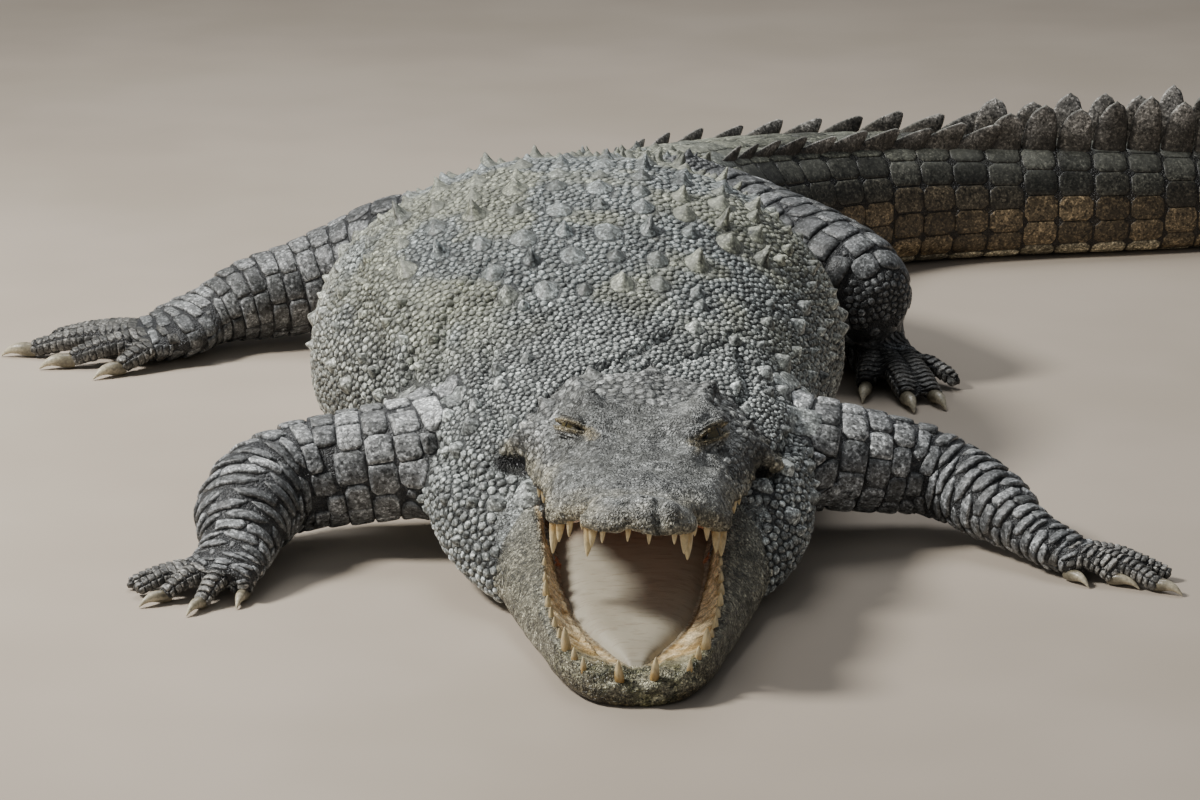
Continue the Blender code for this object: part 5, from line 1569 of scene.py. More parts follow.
def pebble_size(points, normals, form, place, lookup):
    """Half the spacing of the small scales at each point; nothing grows where it is 0."""
    body = is_form(lookup, form, "body", "neck")
    skull, jaw = is_form(lookup, form, "skull"), is_form(lookup, form, "jaw")
    q = moved(HEAD_BACK, points)
    s, y = place[:, 0], points[:, 1]
    high = np.maximum(profile(BODY_HEIGHT, np.where(body, s, 1.0)), 0.02)
    size = np.interp(s, *np.array(PEBBLE_SIZES).T)
    size = np.where(body, np.where(jowl(points, s), 0.0050, size), 0.0050)
    size = np.where(body & (points[:, 2] < 0.20 * high) & (s > 0.35), 0.0125, size)
    size = np.where(is_digit(lookup, form), 0.0038, size)
    past_teeth = np.abs(points[:, 0] - jaw_middle(y)) - profile(JAW_TOOTH_LINE, y)
    cheek = jaw & (y > 0.20) & (past_teeth > SMOOTH_CHEEK)
    size = np.where(jaw, np.where(cheek, 0.0035, 0.0), size)
    x, back = np.abs(q[:, 0]), q[:, 1]
    half = profile(SKULL_HALF_WIDTH, back)
    table = skull & (back > 0.375)
    side = skull & (back > 0.24) & (x > 0.80 * half)
    size = np.where(skull, np.where(table, 0.0058, np.where(side, 0.0042, 0.0)), size)
    bare = (back > SKULL_REAR) & ((hollow(q) > 0.2) | (arch_distance(q) < 0.012))
    bare |= body & (line_distance(points, FOLDS[0][0]) < 0.0045)
    bare |= body & (y < 0.42) & (past_teeth < SMOOTH_CHEEK) & (q[:, 2] < 0.0)
    bare |= (y < MOUTH_BACK) & (past_teeth < 0.012) & (q[:, 2] < 0.012)
    bare |= skull & ((normals @ HEAD[:3, 2]) < 0.0) & (x < 0.9 * half)
    for eye in EYES:
        bare |= lid_shape(points, eye)[0] < 0.034
    return np.where(bare, 0.0, size)


def pebbles(scales, hide):
    """Small rounded scales wherever nothing bigger grows."""
    def spacing(points, normals, form, place):
        return pebble_size(points, normals, form, place, hide.lookup)

    root, size, pick = random_roots(hide, spacing, 5, PEBBLE_TRIES)
    corner = hide.triangles[pick, 0]
    form, s = hide.form[corner], hide.place[corner, 0]
    body = is_form(hide.lookup, form, "body", "neck")
    head = is_form(hide.lookup, form, "skull", "jaw")
    size = size * np.random.default_rng(3).uniform(0.72, 1.42, len(size))
    _, spine = along(CURVE, np.where(body, s, 0.5))
    ahead = np.where(body[:, None], np.column_stack([spine, np.zeros(len(spine))]), [0.0, 1.0, 0.0])
    top = body & (s > 0.5) & (hide.normals[corner, 2] > 0.75)
    high = np.where(body, np.where(top, 0.34, 0.50) * np.minimum(size, 0.009), 0.34 * size)
    high = np.where(head, 0.0010, high)
    group = np.where(head, HEAD_GROUP, np.where(body, BODY_GROUP, LIMBS_GROUP))
    oblong = np.where(body & jowl(root, s), 1.5, 1.06)
    scales.add(root, ahead, size * oblong, size, high, 0.0, 0.12, group, PEBBLE)


# ---------------------------------------------------------------- materials


def new_material(name):
    """A material, its tree and its shader."""
    material = bpy.data.materials.new(name)
    material.use_nodes = True
    return material, Tree(material.node_tree), material.node_tree.nodes["Principled BSDF"]


class Tree:
    """Short words for adding nodes to a tree."""

    def __init__(self, tree):
        self.tree = tree

    def node(self, kind, **settings):
        made = self.tree.nodes.new(kind)
        for name, value in settings.items():
            setattr(made, name, value)
        return made

    def link(self, source, target):
        if isinstance(source, bpy.types.NodeSocket):
            self.tree.links.new(source, target)
        else:
            target.default_value = source
        return target

    def linked(self, kind, given, **settings):
        """A node with these sources or values at its sockets, named or numbered."""
        made = self.node(kind, **settings)
        for socket, source in given.items():
            self.link(source, made.inputs[socket])
        return made

    def math(self, operation, a, b):
        return self.linked("ShaderNodeMath", {0: a, 1: b}, operation=operation).outputs[0]

    def times(self, first, *others):
        for other in others:
            first = self.math("MULTIPLY", first, other)
        return first

    def plus(self, first, *others):
        for other in others:
            first = self.math("ADD", first, other)
        return first

    def opposite(self, value):
        return self.math("SUBTRACT", 1.0, value)

    def mix(self, share, a, b):
        return self.linked("ShaderNodeMix", {0: share, 6: a, 7: b}, data_type="RGBA").outputs[2]

    def scaled(self, vector, share):
        return self.linked("ShaderNodeVectorMath", {0: vector, "Scale": share}, operation="SCALE").outputs[0]

    def place(self, stretch=None):
        """Places in the object's own units, stretched if asked."""
        where = self.node("ShaderNodeTexCoord").outputs["Object"]
        if stretch is None:
            return where
        return self.linked("ShaderNodeMapping", {"Vector": where, "Scale": stretch}).outputs[0]

    def noise(self, where, scale, detail=3.0, roughness=0.55):
        given = {"Vector": where, "Scale": scale, "Detail": detail, "Roughness": roughness}
        return self.linked("ShaderNodeTexNoise", given).outputs["Fac"]

    def ramp(self, value, low, high, to_low=0.0, to_high=1.0):
        given = dict(enumerate((value, low, high, to_low, to_high)))
        return self.linked("ShaderNodeMapRange", given, interpolation_type="SMOOTHSTEP").outputs[0]

    def value(self, name):
        return self.node("ShaderNodeAttribute", attribute_name=name).outputs["Fac"]

    def bump(self, height, strength, distance):
        given = {"Strength": strength, "Distance": distance, "Height": height}
        return self.linked("ShaderNodeBump", given).outputs[0]


def hide_finish():
    """The shared look of hide: its markings with painted shade in the grooves between the scales and the fine
    scales, speckle, dust and fine creases.
    """
    found = bpy.data.node_groups.get("hide_finish")
    if found:
        return found
    tree = bpy.data.node_groups.new("hide_finish", "ShaderNodeTree")
    for way, kind, names in (("INPUT", "NodeSocketColor", ("Marking", "Groove Shade Colour", "Dust Colour")),
                             ("INPUT", "NodeSocketFloat", ("Lift", "Dust", "Wet", "Tint", "Fine Scales")),
                             ("OUTPUT", "NodeSocketColor", ("Colour",)),
                             ("OUTPUT", "NodeSocketFloat", ("Roughness", "Height"))):
        for name in names:
            tree.interface.new_socket(name, in_out=way, socket_type=kind)
    t = Tree(tree)
    given, result = t.node("NodeGroupInput").outputs, t.node("NodeGroupOutput").inputs
    where = t.place()
    speckle = t.noise(where, 420.0, 2.0, 0.6)
    pits = t.ramp(t.noise(where, 190.0, 2.0, 0.5), 0.34, 0.49, 0.28, 1.0)
    flecks = t.ramp(t.noise(where, 240.0, 1.0, 0.5), 0.52, 0.64, 1.0, 2.5)
    clumps = t.ramp(t.noise(where, 75.0, 2.0, 0.5), 0.38, 0.62, 0.72, 1.30)
    grain = t.noise(where, 130.0, 4.0, 0.65)
    broad = t.noise(where, 14.0, 3.0)
    dry = t.opposite(given["Wet"])
    cells = t.linked("ShaderNodeTexVoronoi", {"Vector": where, "Scale": 230.0}, feature="DISTANCE_TO_EDGE")
    cell_edge = t.ramp(cells.outputs["Distance"], 0.02, 0.28)
    # Painted shade along the edges of the fine scales.
    cell_edge_shade = t.times(t.opposite(cell_edge), t.times(given["Fine Scales"], dry))
    shade = t.times(t.plus(0.50, t.times(given["Tint"], 1.04)), t.ramp(speckle, 0.36, 0.64, 0.78, 1.22),
                    t.ramp(grain, 0.35, 0.65, 0.72, 1.28), t.opposite(t.times(cell_edge_shade, 0.55)))
    flecked = t.times(pits, flecks, t.ramp(broad, 0.35, 0.65, 0.80, 1.18), clumps)
    shade = t.times(shade, t.plus(t.times(flecked, dry), given["Wet"]))
    normal = t.node("ShaderNodeNewGeometry").outputs["Normal"]
    upward = t.linked("ShaderNodeSeparateXYZ", {0: normal}).outputs["Z"]
    settled = t.times(t.ramp(upward, 0.15, 0.95), t.ramp(broad, 0.30, 0.62, 0.35, 1.0), given["Dust"],
                      t.ramp(grain, 0.30, 0.70, 0.55, 0.95))
    dusty = t.mix(settled, t.scaled(given["Marking"], shade), given["Dust Colour"])
    # Painted shade in the grooves: the low rings of each scale and the skin under the coat are darkened
    # towards the groove colour, less where dust lies or the hide is wet.
    depth = t.times(t.opposite(t.ramp(given["Lift"], 0.05, 0.72)), dry, t.opposite(t.times(settled, 0.70)),
                    t.opposite(t.times(given["Dust"], 0.55)))
    deep = t.mix(0.6, t.mix(0.65, given["Marking"], (0, 0, 0, 1)), given["Groove Shade Colour"])
    t.link(t.mix(t.times(depth, 0.92), dusty, deep), result["Colour"])
    rough_hide = t.plus(0.38, t.times(settled, 0.40), t.ramp(grain, 0.3, 0.7, -0.08, 0.10))
    t.link(t.math("SUBTRACT", rough_hide, t.times(given["Wet"], 0.30)), result["Roughness"])
    fine = t.times(cell_edge, given["Fine Scales"], dry)
    t.link(t.plus(t.times(grain, 0.80), t.times(speckle, 0.25), fine), result["Height"])
    return tree


def hide_material(name, colours, fine_scales, strength):
    """Hide with its own amount of fine scaling and creases."""
    found = bpy.data.materials.get(name)
    if found:
        return found
    material, t, shader = new_material(name)
    given = {"Marking": t.node("ShaderNodeAttribute", attribute_name="marking").outputs["Color"],
             "Groove Shade Colour": (*colours["groove"], 1), "Dust Colour": (*colours["dust"], 1),
             "Fine Scales": fine_scales}
    given.update((label, t.value(label.lower())) for label in ("Lift", "Dust", "Wet", "Tint"))
    group = t.linked("ShaderNodeGroup", given, node_tree=hide_finish())
    t.link(group.outputs["Colour"], shader.inputs["Base Color"])
    t.link(group.outputs["Roughness"], shader.inputs["Roughness"])
    shader.inputs["Specular IOR Level"].default_value = 0.42
    t.link(t.bump(group.outputs["Height"], strength, 0.0028), shader.inputs["Normal"])
    return material


def horn_material(name, pale, dark, roughness, streak):
    """Teeth and claws: pale at the tip, stained towards the root, with growth streaks."""
    material, t, shader = new_material(name)
    grain = t.noise(t.place(streak), 260.0, 3.0)
    stain = t.noise(t.place(), 90.0, 3.0)
    share = t.plus(t.value("rise"), t.times(t.math("SUBTRACT", stain, 0.5), 0.9))
    colour = t.mix(t.ramp(share, 0.05, 0.75), (*dark, 1), (*pale, 1))
    t.link(t.scaled(colour, t.ramp(grain, 0.3, 0.7, 0.72, 1.2)), shader.inputs["Base Color"])
    t.link(t.ramp(grain, 0.3, 0.7, roughness + 0.12, roughness - 0.06), shader.inputs["Roughness"])
    t.link(t.bump(grain, 0.35, 0.0008), shader.inputs["Normal"])
    return material


def mouth_material(colours):
    """The pale lining of the mouth, pinker and darker with painted shade towards the throat, with fine
    creases across it.
    """
    material, t, shader = new_material("mouth_lining")
    crease = t.noise(t.place((1.0, 5.0, 2.0)), 38.0, 5.0, 0.6)
    broad = t.noise(t.place(), 16.0, 3.0)
    # Towards the throat the lining turns pinker, and darker as painted shade.
    colour = t.mix(t.ramp(t.value("rise"), 0.55, 1.0), (*colours["mouth"], 1), (*colours["mouth_back"], 1))
    for share in (t.ramp(broad, 0.35, 0.7, 0.0, 0.35), t.ramp(crease, 0.54, 0.63, 0.0, 0.6)):
        colour = t.mix(share, colour, (*colours["mouth_stain"], 1))
    t.link(colour, shader.inputs["Base Color"])
    t.link(t.ramp(crease, 0.3, 0.7, 0.42, 0.58), shader.inputs["Roughness"])
    t.link(t.bump(crease, 0.5, 0.0015), shader.inputs["Normal"])
    return material


def eye_material(colours):
    """A golden iris, kept dark as painted shade under the lids, with an upright slit, under a clear wet
    surface.
    """
    material, t, shader = new_material("eye")
    flecks = t.noise(t.place(), 700.0, 3.0)
    pupil = t.ramp(t.value("pupil"), 0.8, 1.1)
    iris = t.mix(t.ramp(flecks, 0.35, 0.65), (*colours["iris"], 1), (*colours["iris_dark"], 1))
    iris = t.mix(t.ramp(t.value("ring"), 0.62, 0.78), iris, (*colours["iris_dark"], 1))
    t.link(t.mix(pupil, (0.004, 0.004, 0.004, 1), iris), shader.inputs["Base Color"])
    shader.inputs["Roughness"].default_value = 0.08
    shader.inputs["Coat Weight"].default_value = 0.6
    return material


# ---------------------------------------------------------------- Geometry Nodes


def group_tree(name, inputs):
    """A Geometry Nodes tree from a mesh to a mesh in one material, with these further inputs."""
    tree = bpy.data.node_groups.new(name, "GeometryNodeTree")
    for label, kind in (("Geometry", "Geometry"), *inputs, ("Finish", "Material")):
        tree.interface.new_socket(label, in_out="INPUT", socket_type="NodeSocket" + kind)
    tree.interface.new_socket("Geometry", in_out="OUTPUT", socket_type="NodeSocketGeometry")
    t = Tree(tree)
    return tree, t, t.node("NodeGroupInput").outputs


def dressed(t, geometry, given):
    """Ends a tree: real faces in the material that was asked for."""
    real = t.linked("GeometryNodeRealizeInstances", {0: geometry})
    made = t.linked("GeometryNodeSetMaterial", {"Geometry": real.outputs[0], "Material": given["Finish"]})
    t.link(made.outputs[0], t.node("NodeGroupOutput").inputs["Geometry"])


def named(t, label, kind="FLOAT_VECTOR"):
    made = t.linked("GeometryNodeInputNamedAttribute", {"Name": label}, data_type=kind)
    return next(s for s in made.outputs if s.enabled)


def repeated_tree():
    """Sets one shape on every point, with the point's own turn and size."""
    found = bpy.data.node_groups.get("repeated")
    if found:
        return found
    tree, t, given = group_tree("repeated", (("Shape", "Object"),))
    shape = t.linked("GeometryNodeObjectInfo", {"Object": given["Shape"]})
    spots = t.linked("GeometryNodeMeshToPoints", {"Mesh": given["Geometry"]})
    turn = t.linked("FunctionNodeEulerToRotation", {0: named(t, "turn")})
    instances = t.linked("GeometryNodeInstanceOnPoints", {
        "Points": spots.outputs[0], "Instance": shape.outputs["Geometry"],
        "Rotation": turn.outputs[0], "Scale": named(t, "size")})
    dressed(t, instances.outputs[0], given)
    return tree


def swept_tree():
    """Draws a round section along every path, as thick as the path's own thickness."""
    found = bpy.data.node_groups.get("swept")
    if found:
        return found
    tree, t, given = group_tree("swept", (("Sides", "Int"),))
    path = t.linked("GeometryNodeMeshToCurve", {"Mesh": given["Geometry"]})
    ring = t.linked("GeometryNodeCurvePrimitiveCircle", {"Resolution": given["Sides"], "Radius": 1.0})
    swept = t.linked("GeometryNodeCurveToMesh", {
        "Curve": path.outputs[0], "Profile Curve": ring.outputs[0],
        "Scale": named(t, "thick", "FLOAT"), "Fill Caps": True})
    dressed(t, swept.outputs[0], given)
    return tree


def grown_by(tree, mesh, settings):
    """The plain mesh that a Geometry Nodes tree makes from a mesh."""
    holder = placed("holder", mesh)
    modifier = holder.modifiers.new("make", "NODES")
    modifier.node_group = tree
    for item in tree.interface.items_tree:
        if item.item_type == "SOCKET" and item.in_out == "INPUT" and item.name in settings:
            modifier[item.identifier] = settings[item.name]
    holder.update_tag()
    return evaluated(holder)


def repeated(spots, turns, sizes, shape, finish):
    """One mesh with the shape at every spot."""
    mesh = bpy.data.meshes.new("spots")
    mesh.from_pydata([tuple(p) for p in spots], [], [])
    for name, rows in (("turn", turns), ("size", sizes)):
        layer = mesh.attributes.new(name, "FLOAT_VECTOR", "POINT")
        layer.data.foreach_set("vector", np.array(rows, float).ravel())
    pattern = placed("pattern", shape)
    result = grown_by(repeated_tree(), mesh, {"Shape": pattern, "Finish": finish})
    bpy.data.objects.remove(pattern)
    return result


# ---------------------------------------------------------------- pieces


class Workshop:
    """What the operators share: the skin, the roots of the scales and how the coat looks."""
    hide = None
    roots = None
    look = None


def shift():
    """From plan coordinates to the frame of the solids, found from where the left eye is."""
    low, high = (np.array(v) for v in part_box("eye_left"))
    middle = (low + high) / 2
    return np.array([middle[0] - EYES["left"][0], middle[1] - EYES["left"][1], 0.0])


def palette():
    chosen = bpy.context.scene.crocodile_colours
    return {name: tuple(getattr(chosen, name)) for name in PALETTE}


def finished(name, mesh, material, nodes=()):
    """Moves a mesh into the frame and makes it a piece of the animal."""
    place_points(mesh, points_of(mesh) + shift())
    mesh.name = name
    if material is not None:
        mesh.materials.clear()
        mesh.materials.append(material)
    mesh.shade_smooth()
    piece = placed(name, mesh)
    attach(piece, "root")
    if nodes:
        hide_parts(*nodes)
    return piece


def hide_of():
    if Workshop.hide is None:
        sizes = bpy.context.scene.crocodile_sizes
        Workshop.hide = Hide(sizes.voxel, sizes.coat_depth, sizes.limb_coat_depth)
    return Workshop.hide


def coat_roots():
    """Every scale's root, set on the skin once for all the pieces of the coat."""
    if Workshop.roots is None:
        hide = hide_of()
        scales = Scales()
        back_scutes(scales)
        flank_knobs(scales)
        tail_rings(scales)
        limb_scales(scales)
        pebbles(scales, hide)
        data = crowding(scales.settle(hide), hide, 2)
        data["form"], data["place"] = hide.lookup.at(data["root"])
        size = pebble_size(data["root"], data["normal"], data["form"], data["place"], hide.lookup)
        data = chosen_rows(data, (size > 0) | (data["rank"] >= KNOB))
        Workshop.roots = data
        colour, dust, wet = marked(data["root"], data["normal"], hide.lookup, data["form"], data["place"],
                                   palette())
        shade = np.select([data["group"] == group for group in COAT_SHADES], list(COAT_SHADES.values()), 1.0)
        Workshop.look = {"outline": {sides: outlined(data, sides) for sides in (FEW_SIDES, MANY_SIDES)},
                         "colour": colour * shade[:, None], "dust": dust, "wet": wet}
    return Workshop.roots


def make_coat(name, chosen, steps, gap):
    """One piece of the coat, from the scales that were chosen."""
    index = np.nonzero(chosen)[0]
    sides = FEW_SIDES if steps is SMALL_STEPS else MANY_SIDES
    mesh = scale_mesh(name, hide_of(), coat_roots(), index, sides, steps, gap, Workshop.look)
    return finished(name, mesh, hide_material("hide_coat", palette(), 0.0, 0.5))


# Rings of a scale from its foot upwards: share of the outline, share of the height, and how far the ring
# stands out of the painted shade of the groove (0 is full shade).
SMALL_STEPS = [(1.03, -0.0012, 0.0), (0.84, 0.62, 0.62), (0.42, 1.0, 1.0)]
MOUND_STEPS = [(1.04, -0.0016, 0.0), (0.96, 0.16, 0.5), (0.82, 0.42, 0.8), (0.56, 0.78, 1.0),
               (0.28, 1.0, 1.0)]
BROAD_STEPS = [(1.04, -0.0016, 0.0), (0.985, 0.42, 0.55), (0.90, 0.80, 0.9), (0.64, 0.96, 1.0),
               (0.30, 1.0, 1.0)]


def make_skin():
    """The one skin over head, body, tail and limbs."""
    hide = hide_of()
    colour, dust, wet = marked(hide.points, hide.normals, hide.lookup, hide.form, hide.place, palette())
    size = pebble_size(hide.points, hide.normals, hide.form, hide.place, hide.lookup)
    # Painted shade: the skin under the scales takes the groove's dark colour (lift 0), blended at the edges
    # of bare skin; the scaled parts of the head keep at least 0.30 of their lift.
    lift = np.repeat(np.where(size > 0, 0.0, 1.0)[:, None], 3, 1)
    lift = relaxed(lift, edges_of(hide.mesh), np.full(len(lift), 0.5), 1)[:, 0]
    table = (size > 0) & is_form(hide.lookup, hide.form, "skull", "jaw")
    lift = np.where(table, np.maximum(lift, 0.30), lift)
    paint(hide.mesh, colour, lift, dust, wet, np.full(len(lift), 0.5))
    return finished("skin", hide.mesh, hide_material("hide_smooth", palette(), 0.60, 1.0), FLESH)


def make_tongue():
    """The broad flat tongue, one with the pale floor of the mouth."""
    forms = Forms()
    at = np.linspace(TONGUE_STARTS, TONGUE_ENDS, 130)
    share = np.linspace(-1, 1, 49)
    rings = []
    for y in at:
        wide, top = profile(TONGUE_EDGE, y), profile(TONGUE_TOP, y) - 0.002
        below = min(profile(MOUTH_FLOOR, y), top - 0.006) - 0.005
        arch = top - 0.0015 - (top - below) * np.abs(share) ** 5
        x = wide * np.append(share, share[::-1][1:-1])
        z = np.append(arch, np.full(len(share) - 2, below))
        rings.append(np.column_stack([jaw_middle(y) + x, np.full(len(x), y), z]))
    forms.add("tongue", rings, at)
    mesh = forms.mesh()
    points = points_of(mesh)
    top = points[:, 2] > profile(MOUTH_FLOOR, points[:, 1]) - 0.002
    drawn_out = points * [1.0, 4.0, 1.0]
    points[:, 2] += top * (0.0007 * rough(drawn_out, 0.045, 51, 3) + 0.0014 * rough(points, 0.060, 52, 2))
    place_points(mesh, points)
    set_values(mesh, "rise", ease(0.24, 0.46, points[:, 1]))
    return finished("tongue_surface", mesh, mouth_material(palette()), ("tongue",))


def tooth_shape():
    """A slightly hooked cone one unit tall and about one wide, whose tip leans to -Y."""
    turn = np.arange(12) / 12 * 2 * math.pi
    rings = [np.column_stack([r * np.cos(turn), r * np.sin(turn) - 0.10 * z * z, np.full(12, z)])
             for z, r in TOOTH_OUTLINE]
    forms = Forms()
    forms.add("tooth", rings, [z for z, _ in TOOTH_OUTLINE])
    mesh = forms.mesh()
    set_values(mesh, "rise", points_of(mesh)[:, 2])
    mesh.shade_smooth()
    return mesh


def upper_tooth(place, length, sign, vary):
    """Root, tip and lean of a tooth of the upper row."""
    x = 0.012 if place < 0.01 else profile(SKULL_HALF_WIDTH, place) - TOOTH_INSET
    y = place + (0.010 if place < 0.03 else 0.002)
    lip = lip_line(place)
    root = Vector((sign * x, y, lip + TOOTH_ROOT + 0.003))
    tip = Vector((sign * (x + 0.10 * length), y - 0.05 * length, lip - length * vary))
    return head_frame() @ root, head_frame() @ tip, Vector((-sign, 0.5, 0))


def lower_tooth(place, length, sign, vary):
    """Root, tip and lean of a tooth of the lower row."""
    x = FRONT_TOOTH_X if place < 0.02 else profile(JAW_TOOTH_LINE, place) - 0.003
    y = place + (0.003 if place < 0.02 else 0.0)
    lip = profile(JAW_LIP_HEIGHT, place)
    root = Vector((jaw_middle(y) + sign * x, y, lip - TOOTH_ROOT))
    tip = Vector((jaw_middle(y) + sign * (x + 0.12 * length), y - 0.10 * length, lip + 0.9 * length * vary))
    return root, tip, Vector((-sign, 0.6, 0))


def aim(direction, lean_towards):
    """Euler turn that points a shape's Z along the direction and its -Y towards the other."""
    z = Vector(direction).normalized()
    y = -(Vector(lean_towards) - Vector(lean_towards).project(z))
    if y.length < 1e-4:
        y = z.orthogonal()
    y.normalize()
    x = y.cross(z)
    return Matrix((x, y, z)).transposed().to_euler()


def make_teeth():
    """Both rows of teeth, each tooth a hooked cone set in its socket."""
    material = horn_material("tooth", PALE_TOOTH, STAINED_TOOTH, 0.28, (1, 1, 0.4))
    pieces = []
    rows = (("teeth_upper", UPPER_TEETH, upper_tooth), ("teeth_lower", LOWER_TEETH, lower_tooth))
    for name, row, tooth in rows:
        spots, turn, size = [], [], []
        for number, (place, length) in enumerate(row):
            for sign in (-1, 1):
                vary = 1 + 0.10 * math.sin(number * 2.7 + sign * 1.1)
                root, tip, inward = tooth(place, length, sign, vary)
                spots.append(root)
                turn.append(aim(tip - root, inward))
                girth = 2 * (0.0016 + 0.155 * length)
                size.append((girth, girth, (tip - root).length))
        mesh = repeated(spots, turn, size, tooth_shape(), material)
        pieces.append(finished(name, mesh, None))
    return pieces


def make_eyes():
    """Two wet eyeballs, each looking out between its lids."""
    material = eye_material(palette())
    pieces = []
    for side in EYES:
        work = bmesh.new()
        bmesh.ops.create_uvsphere(work, u_segments=64, v_segments=40, radius=EYE_RADIUS - 0.0002)
        mesh = bpy.data.meshes.new("ball")
        work.to_mesh(mesh)
        work.free()
        gaze, slit, up = eye_axes(side)
        mesh.transform(Matrix((slit, up, gaze)).transposed().to_4x4())
        points = points_of(mesh)
        ahead, across, over = (unit(points) @ axis for axis in (gaze, slit, up))
        front = ahead > 0
        set_values(mesh, "ring", np.where(front, np.hypot(across, over), 1.5))
        pupil = np.where(front, np.hypot(across / 0.085, over / 0.46), FAR)
        set_values(mesh, "pupil", np.minimum(pupil, FAR))
        place_points(mesh, points + EYES[side])
        pieces.append(finished(f"eyeball_{side}", mesh, material, (f"eye_{side}",)))
    return pieces


def claw_mesh(foot, digit, material):
    """A claw swept along its arc, from the end of its toe down to the ground."""
    path, thick = digit_path(*digit, ANKLE_HEIGHT, 4)
    ahead = unit(path[-1] - path[-2])
    flat = unit(np.array([ahead[0], ahead[1], 0.0]))
    length = CLAW_LENGTH[foot.split("_")[0]]
    steps = np.linspace(-0.22, 1, 28)
    forward = np.clip(steps, 0, 1)
    spots = path[-1] + np.outer(steps * length, flat)
    r = thick[-1] * CLAW_GIRTH * (1 - 0.92 * forward**1.8)
    spots[:, 2] = path[-1][2] * (1 - forward**1.7) + (r + 0.0006) * forward**1.7
    spots[:, 2] += 0.0025 * np.sin(math.pi * forward)
    mesh = bpy.data.meshes.new("path")
    mesh.from_pydata(spots.tolist(), [(i, i + 1) for i in range(len(spots) - 1)], [])
    set_values(mesh, "thick", r)
    made = grown_by(swept_tree(), mesh, {"Sides": 16, "Finish": material})
    points = points_of(made)
    points[:, 2] = np.maximum(points[:, 2], 0.0)
    place_points(made, points)
    set_values(made, "rise", np.clip(((points - path[-1]) @ flat) / length, 0, 1))
    return made


def make_claws():
    """Three curved claws on each foot."""
    material = horn_material("claw", PALE_CLAW, DARK_CLAW, 0.36, (1, 1, 1))
    return [finished(f"horn_claw_{foot}_{number}", claw_mesh(foot, digit, material), None,
                     (f"claw_{foot}_{number}",))
            for foot, digits in DIGITS.items() for number, digit in enumerate(digits[:CLAWED_DIGITS], 1)]


def crest_shape(front, rear):
    """A plate one unit long and tall, thick at its foot, that leans backwards (+X)."""
    turn = np.arange(14) / 14 * 2 * math.pi
    rings = []
    for (z, w), a, b in zip(PLATE_THICKNESS, front, rear):
        x = (a + b) / 2 + (b - a) / 2 * np.cos(turn)
        y = w * np.sign(np.sin(turn)) * np.abs(np.sin(turn)) ** 0.8
        rings.append(np.column_stack([x, y, np.full(14, z) - 0.05 * np.cos(turn) ** 2 * (z > 0)]))
    forms = Forms()
    forms.add("plate", rings, [z for z, _ in PLATE_THICKNESS])
    return forms.mesh()


def make_crest():
    """The tail's crest: two rows of upright plates that draw together and run on as one."""
    return [make_plates("crest_saw", SAW_PLATE, 0, SAW_WHORLS, 1.30),
            make_plates("crest_tall", TALL_PLATE, SAW_WHORLS, WHORLS_DOUBLE + WHORLS_SINGLE, 1.02)]


def make_plates(name, outline, first, last, overlap):
    """One piece of the crest: a plate, or a pair of them, on each whorl from first to last."""
    spots, turn, size = [], [], []
    for i, (start, pitch) in list(enumerate(zip(*whorls())))[first:last]:
        s = start + 0.54 * pitch
        centre, ahead = (rows[0] for rows in along(CURVE, s))
        side = np.array([ahead[1], -ahead[0]])
        high, crest = profile(BODY_HEIGHT, s), profile(CREST_HEIGHT, start + 0.7 * pitch)
        apart, wide = profile(CREST_APART, s), profile(BODY_HALF_WIDTH, s)
        tall = float(np.interp(i, [0, SAW_WHORLS - 1, SAW_WHORLS, 16], [0.85, 0.72, 1.04, 1.20]))
        for sign in ((-1, 1) if i < WHORLS_DOUBLE else (0,)):
            base = high * (1 - 0.32 * (apart / wide) ** 2.2) if sign else high
            spots.append((*(centre + side * apart * sign), base - 0.006))
            out = math.tan(CREST_LEAN) * sign * (1 - 0.4 * (i / WHORLS_DOUBLE))
            z = Vector((*(side * out), 1.0)).normalized()
            x = Vector((*ahead, 0.0))
            x = (x - x.project(z)).normalized()
            turn.append(Matrix((x, z.cross(x), z)).transposed().to_euler())
            vary = 1 + 0.09 * math.sin(i * 2.3 + sign * 1.7)
            size.append((pitch * overlap, 0.011 + 0.10 * crest, (crest * tall + 0.007) * vary))
    chosen = palette()
    mesh = repeated(spots, turn, size, crest_shape(*outline), hide_material("hide_coat", chosen, 0.0, 0.5))
    points = points_of(mesh)
    per = len(points) // len(spots)
    foot, tall = (np.repeat([row[2] for row in rows], per) for rows in (spots, size))
    rise = np.clip((points[:, 2] - foot) / tall, 0, 1)
    dark, pale = np.array(chosen["crest"]), np.array(chosen["crest_edge"])
    share = ease(0.35, 1.0, rise + 0.35 * rough(points, 0.05, 61, 2))[:, None]
    tint = np.repeat(np.random.default_rng(4).random(len(spots)), per)
    paint(mesh, dark * (1 - share) + pale * share, np.ones(len(points)), 0.25 + 0.35 * rise,
          np.zeros(len(points)), tint)
    uv_from_roots(mesh, spots, per)
    return finished(name, mesh, None)


def uv_from_roots(mesh, spots, per):
    """Gives each plate a small patch at its root's place on the skin's unwrap."""
    hide = hide_of()
    _, _, face, share, _ = hide.nearest(np.array(spots))
    points = points_of(mesh).reshape(len(spots), per, 3)
    local = points - points.mean(1, keepdims=True)
    reach = np.abs(local).max((1, 2), keepdims=True)
    patch = hide.uv_at(face, share)[:, None] + local[:, :, [0, 2]] / reach * UV_PATCH
    set_uv(mesh, patch.reshape(-1, 2))


